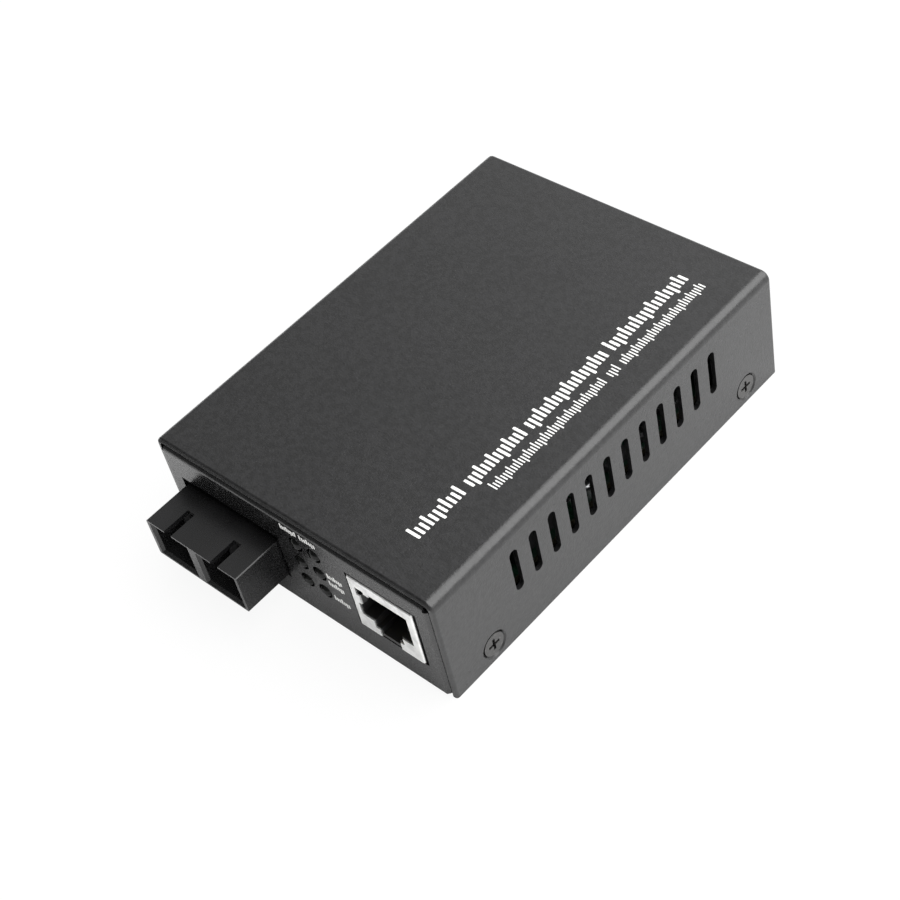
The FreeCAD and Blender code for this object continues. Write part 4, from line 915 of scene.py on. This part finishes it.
@dataclass
class LampPanel(Assembly):
    """Lamp block behind the front panel and the small print beside its lamps."""

    epoxy: LampEpoxy = LampEpoxy("smoked_epoxy", (0.004, 0.0044, 0.004))
    holder: MouldedPlastic = MouldedPlastic("holder_nylon", (0.012, 0.012, 0.012),
                                            roughness=0.5)
    ink: ScreenInk = ScreenInk("panel_screen_ink", (0.96, 0.96, 0.94))
    style: Lettering = Lettering(height=1.35, stroke=0.44, gap=0.12)
    labels: tuple[Label, ...] = (
        Label(-1.8, 2.3, 22.4), Label(3.1, 7.1, 22.4), Label(7.8, 11.6, 15.1),
        Label(7.8, 11.6, 13.1), Label(8.0, 11.9, 9.1))

    def dress(self) -> None:
        """Tint the lamps and darken their holder."""
        dress(self.epoxy, "indicator_lamps")
        dress(self.holder, "lamp_holder")

    def build(self) -> None:
        """Print a short row beside each lamp or pair of lamps."""
        face = box_mm("base_chassis")[0].y
        right, up = Vector((1, 0, 0)), Vector((0, 0, 1))
        rows = [PrintLine(Vector((label.left, face, label.foot)), right, up,
                          ((0.0, label.right - label.left),), self.style)
                for label in self.labels]
        Print("panel_print", "chassis_paint", self.ink, rows).build()


@dataclass
class FibreModule(Assembly):
    """Duplex fibre module: its housing, base, latch frames and ferrule sleeves."""

    housing: MouldedPlastic = MouldedPlastic("module_moulding", (0.0078, 0.0078, 0.0082),
                                             roughness=0.28)
    latches: MouldedPlastic = MouldedPlastic("latch_moulding", (0.020, 0.020, 0.021),
                                             roughness=0.42)
    sleeves: TurnedMetal = TurnedMetal("turned_sleeve", (0.60, 0.58, 0.54))

    def dress(self) -> None:
        """Give each part of the module its finish."""
        dress(self.housing, "fibre_housing", "fibre_base")
        dress(self.latches, "latch_frames")
        dress(self.sleeves, "optical_barrels")


@dataclass
class NetworkJack(Assembly):
    """Shielded jack: tinned shell, black body and gilt contacts."""

    # the shell's colour is darkened just behind its face: painted shade inside the jack's mouth
    tin: DrawnMetal = DrawnMetal("tinned_shield", (0.95, 0.95, 0.94), roughness=0.50,
                                 lines=(1, 10, 1), painted_shade_from=-47.6)
    body: MouldedPlastic = MouldedPlastic("jack_moulding", (0.014, 0.014, 0.014),
                                          roughness=0.4)
    gold: DrawnMetal = DrawnMetal("gilt_contact", (0.86, 0.62, 0.25), roughness=0.22,
                                  lines=(1, 12, 1))

    def dress(self) -> None:
        """Give each part of the jack its finish."""
        dress(self.tin, "jack_shield")
        dress(self.body, "jack_body")
        dress(self.gold, "jack_contacts")


@dataclass
class PowerSocket(Assembly):
    """Power socket: moulded body, plated pin and sprung side contact."""

    body: MouldedPlastic = MouldedPlastic("socket_moulding", (0.016, 0.016, 0.017),
                                          roughness=0.38)
    plate: TurnedMetal = TurnedMetal("plated_pin", (0.78, 0.76, 0.72))

    def dress(self) -> None:
        """Give each part of the socket its finish."""
        dress(self.body, "power_body")
        dress(self.plate, "power_pin", "power_spring")


class SmallParts(NamedTuple):
    """Two rows of small ceramic parts: their node and what their finish needs."""

    node: str
    finish: str
    colour: Colour
    length: float
    tinned: float


@dataclass
class Board(Assembly):
    """Main board with its standoffs, screws and everything soldered to it."""

    steel: DrawnMetal = DrawnMetal("zinc_plate", (0.62, 0.63, 0.64), roughness=0.3,
                                   lines=(1, 1, 8))
    tin: DrawnMetal = DrawnMetal("tinned_lead", (0.74, 0.74, 0.72), roughness=0.3,
                                 lines=(4, 4, 4))
    crystal: DrawnMetal = DrawnMetal("nickel_can", (0.66, 0.64, 0.60), roughness=0.26,
                                     lines=(1, 8, 1))
    ferrite: MouldedPlastic = MouldedPlastic("ferrite_block", (0.050, 0.049, 0.048),
                                             roughness=0.6, grain=0.5, depth=0.03)
    bases: MouldedPlastic = MouldedPlastic("capacitor_base", (0.018, 0.018, 0.019),
                                           roughness=0.5)
    # packages with a first-pin mark: how far in from the front left corner, and its radius
    marked: tuple[tuple[str, float, float], ...] = (
        ("converter_chip", 1.6, 0.7), ("memory_chip", 0.8, 0.35), ("line_transformer", 1.5, 0.6))
    small: tuple[SmallParts, ...] = (
        SmallParts("small_capacitors", "ceramic_capacitor", (0.30, 0.20, 0.12), 2.0, 0.4),
        SmallParts("small_resistors", "film_resistor", (0.020, 0.020, 0.022), 1.6, 0.3))

    def resin(self) -> ChipResin:
        """Return package resin with a first-pin mark on each of the marked packages."""
        marks = []
        for name, inset, radius in self.marked:
            low, _ = box_mm(name)
            marks.append(Mark(low.x + inset, low.y + inset, radius))
        return ChipResin("moulded_resin", (0.022, 0.022, 0.023), tuple(marks))

    def laminate(self) -> Laminate:
        """Return board laminate fitted to the board's outline."""
        low, high = box_mm("main_board")
        return Laminate("resist_laminate", (0.004, 0.020, 0.010), half_width=high.x,
                        front=low.y, rear=high.y)

    def cans(self) -> CanSleeve:
        """Return can aluminium fitted to the row of three capacitors."""
        low, high = box_mm("capacitor_cans")
        wide = high.x - low.x
        return CanSleeve("can_aluminium", (0.80, 0.80, 0.81), row_x=(low.x + high.x) / 2,
                         first_y=low.y + wide / 2, pitch=(high.y - low.y - wide) / 2,
                         top=high.z)

    def dress(self) -> None:
        """Give the board and each part on it a finish."""
        dress(self.laminate(), "main_board", "fibre_board")
        dress(self.steel, "board_standoffs", "board_screws")
        dress(self.resin(), "converter_chip", "memory_chip", "line_transformer",
              "voltage_regulator", "input_diode")
        dress(self.tin, "converter_chip_leads", "memory_chip_leads", "line_transformer_leads",
              "voltage_regulator_leads", "input_diode_leads", "lamp_leads", "fibre_pins")
        dress(self.crystal, "crystal_can")
        dress(self.bases, "capacitor_bases")
        dress(self.cans(), "capacitor_cans")
        dress(self.ferrite, "power_coil")
        for part in self.small:
            low, high = box_mm(part.node)
            rows = (low.y + part.length / 2, high.y - part.length / 2)
            dress(EndedChip(part.finish, part.colour, rows, part.length, part.tinned),
                  part.node)


# --------------------------------------------------------------------------- studio


@dataclass(frozen=True)
class Softbox:
    """A soft rectangular lamp aimed at the middle of the converter, in metres."""

    name: str
    direction: Triple
    distance: float
    width: float
    length: float
    watts: float

    def build(self) -> None:
        """Hang the lamp."""
        lamp = bpy.data.lights.new(self.name, "AREA")
        lamp.shape = "RECTANGLE"
        lamp.size, lamp.size_y = self.width, self.length
        lamp.energy = self.watts
        holder = bpy.data.objects.new(self.name, lamp)
        bpy.context.scene.collection.objects.link(holder)
        way = Vector(self.direction).normalized()
        holder.location = way * self.distance
        holder.rotation_mode = "QUATERNION"
        holder.rotation_quaternion = way.to_track_quat("Z", "Y")


@dataclass
class Studio:
    """White floor, plain sky and a soft lamp."""

    floor_radius: float = 6.0      # metres
    floor_sides: int = 96
    floor_white: float = 0.92
    shown_white: float = 0.92      # share of plain white as the camera sees floor and sky
    mirrored_white: float = 0.05   # the same share as gloss and glass see them
    bright_side: Triple = (0.55, 0.9, -0.12)
    sky_levels: Span = (-0.5, 0.6)      # where the sky starts to brighten toward that side
    sky_dim: float = 0.15
    sky_bright: float = 1.36
    key: Softbox = Softbox("key", direction=(0.40, 0.39, 0.83), distance=2.0,
                           width=2.6, length=2.6, watts=66.0)

    def seen(self, graph: Graph) -> Value:
        """Return the share of plain white by what looks: the camera, or gloss and glass."""
        ray = graph.node("ShaderNodeLightPath")
        shown, glossy, through = (
            Value(graph, ray.outputs[f"Is {kind} Ray"])
            for kind in ("Camera", "Glossy", "Transmission"))
        return shown * self.shown_white + glossy.most(through) * self.mirrored_white

    def blend(self, graph: Graph, own: bpy.types.Node, white: bpy.types.Node,
              output: str) -> None:
        """Close a graph that shows its own light, and plain white by what looks.

        Args:
            graph: The graph of the floor or of the sky.
            own: Its own shader.
            white: A shader of plain white.
            output: Type of the output node.
        """
        both = graph.node("ShaderNodeMixShader", None, {
            0: self.seen(graph), 1: own.outputs[0], 2: white.outputs[0]})
        graph.node(output, None, {0: both.outputs[0]})

    def floor(self) -> None:
        """Lay a round floor that shows white and keeps the object's shadow."""
        deselect()
        bpy.ops.mesh.primitive_circle_add(vertices=self.floor_sides, radius=self.floor_radius,
                                          fill_type="NGON", location=(0, 0, 0))
        floor = bpy.context.object
        floor.name = "studio_floor"
        graph = Graph("studio_floor")
        paper = graph.node("ShaderNodeBsdfDiffuse", None,
                           {"Color": (self.floor_white,) * 3 + (1.0,)})
        glow = graph.node("ShaderNodeEmission", None, {"Color": (1, 1, 1, 1), "Strength": 1.0})
        self.blend(graph, paper, glow, "ShaderNodeOutputMaterial")
        floor.data.materials.append(graph.owner)

    def sky(self) -> None:
        """Fill the world with a plain gradient that brightens toward one side."""
        world = bpy.data.worlds.new("studio_sky")
        graph = Graph(world.name, world)
        side = graph.node("ShaderNodeVectorMath", {"operation": "DOT_PRODUCT"},
                          {0: graph.toward, 1: self.bright_side})
        rise = Value(graph, side.outputs["Value"]).ease(*self.sky_levels)
        strength = self.sky_dim + rise * (self.sky_bright - self.sky_dim)
        light, plain = (graph.node("ShaderNodeBackground", None,
                                   {"Color": (1, 1, 1, 1), "Strength": level})
                        for level in (strength, 1.0))
        self.blend(graph, light, plain, "ShaderNodeOutputWorld")
        bpy.context.scene.world = world

    def build(self) -> None:
        """Set up the floor, the sky and the lamp."""
        self.floor()
        self.sky()
        self.key.build()
        bpy.context.scene.view_settings.view_transform = "Standard"


@dataclass
class Eye:
    """The camera, above the front right corner and slightly tilted."""

    place: Triple = (190.640, -153.961, 257.459)
    target: Triple = (1.962, -9.885, 10.0)
    roll: float = -0.252           # radians
    lens: float = 73.23
    sensor: float = 36.0
    clip: Span = (0.01, 50.0)      # metres

    def build(self) -> None:
        """Place the camera and make it the scene's."""
        data = bpy.data.cameras.new("eye")
        data.lens = self.lens
        data.sensor_width = self.sensor
        data.clip_start, data.clip_end = self.clip
        camera = bpy.data.objects.new("eye", data)
        bpy.context.scene.collection.objects.link(camera)
        place, target = Vector(self.place), Vector(self.target)
        ahead = (target - place).normalized()
        right = ahead.cross(Vector((0, 0, 1))).normalized()
        above = right.cross(ahead)
        level = math.cos(self.roll) * right + math.sin(self.roll) * above
        upright = -math.sin(self.roll) * right + math.cos(self.roll) * above
        turn = Matrix((level, upright, -ahead)).transposed().to_4x4()
        camera.matrix_world = Matrix.Translation(place * MM) @ turn
        bpy.context.scene.camera = camera


# ----------------------------------------------------------------------------- main


def main() -> None:
    """Build the studio, dress every part and add the printed pieces."""
    logging.basicConfig(level=logging.INFO, format="%(message)s")
    Eye().build()
    Studio().build()
    for part in (Case(), LampPanel(), FibreModule(), NetworkJack(), PowerSocket(), Board()):
        part.dress()
        part.build()


if __name__ == "__main__":
    main()
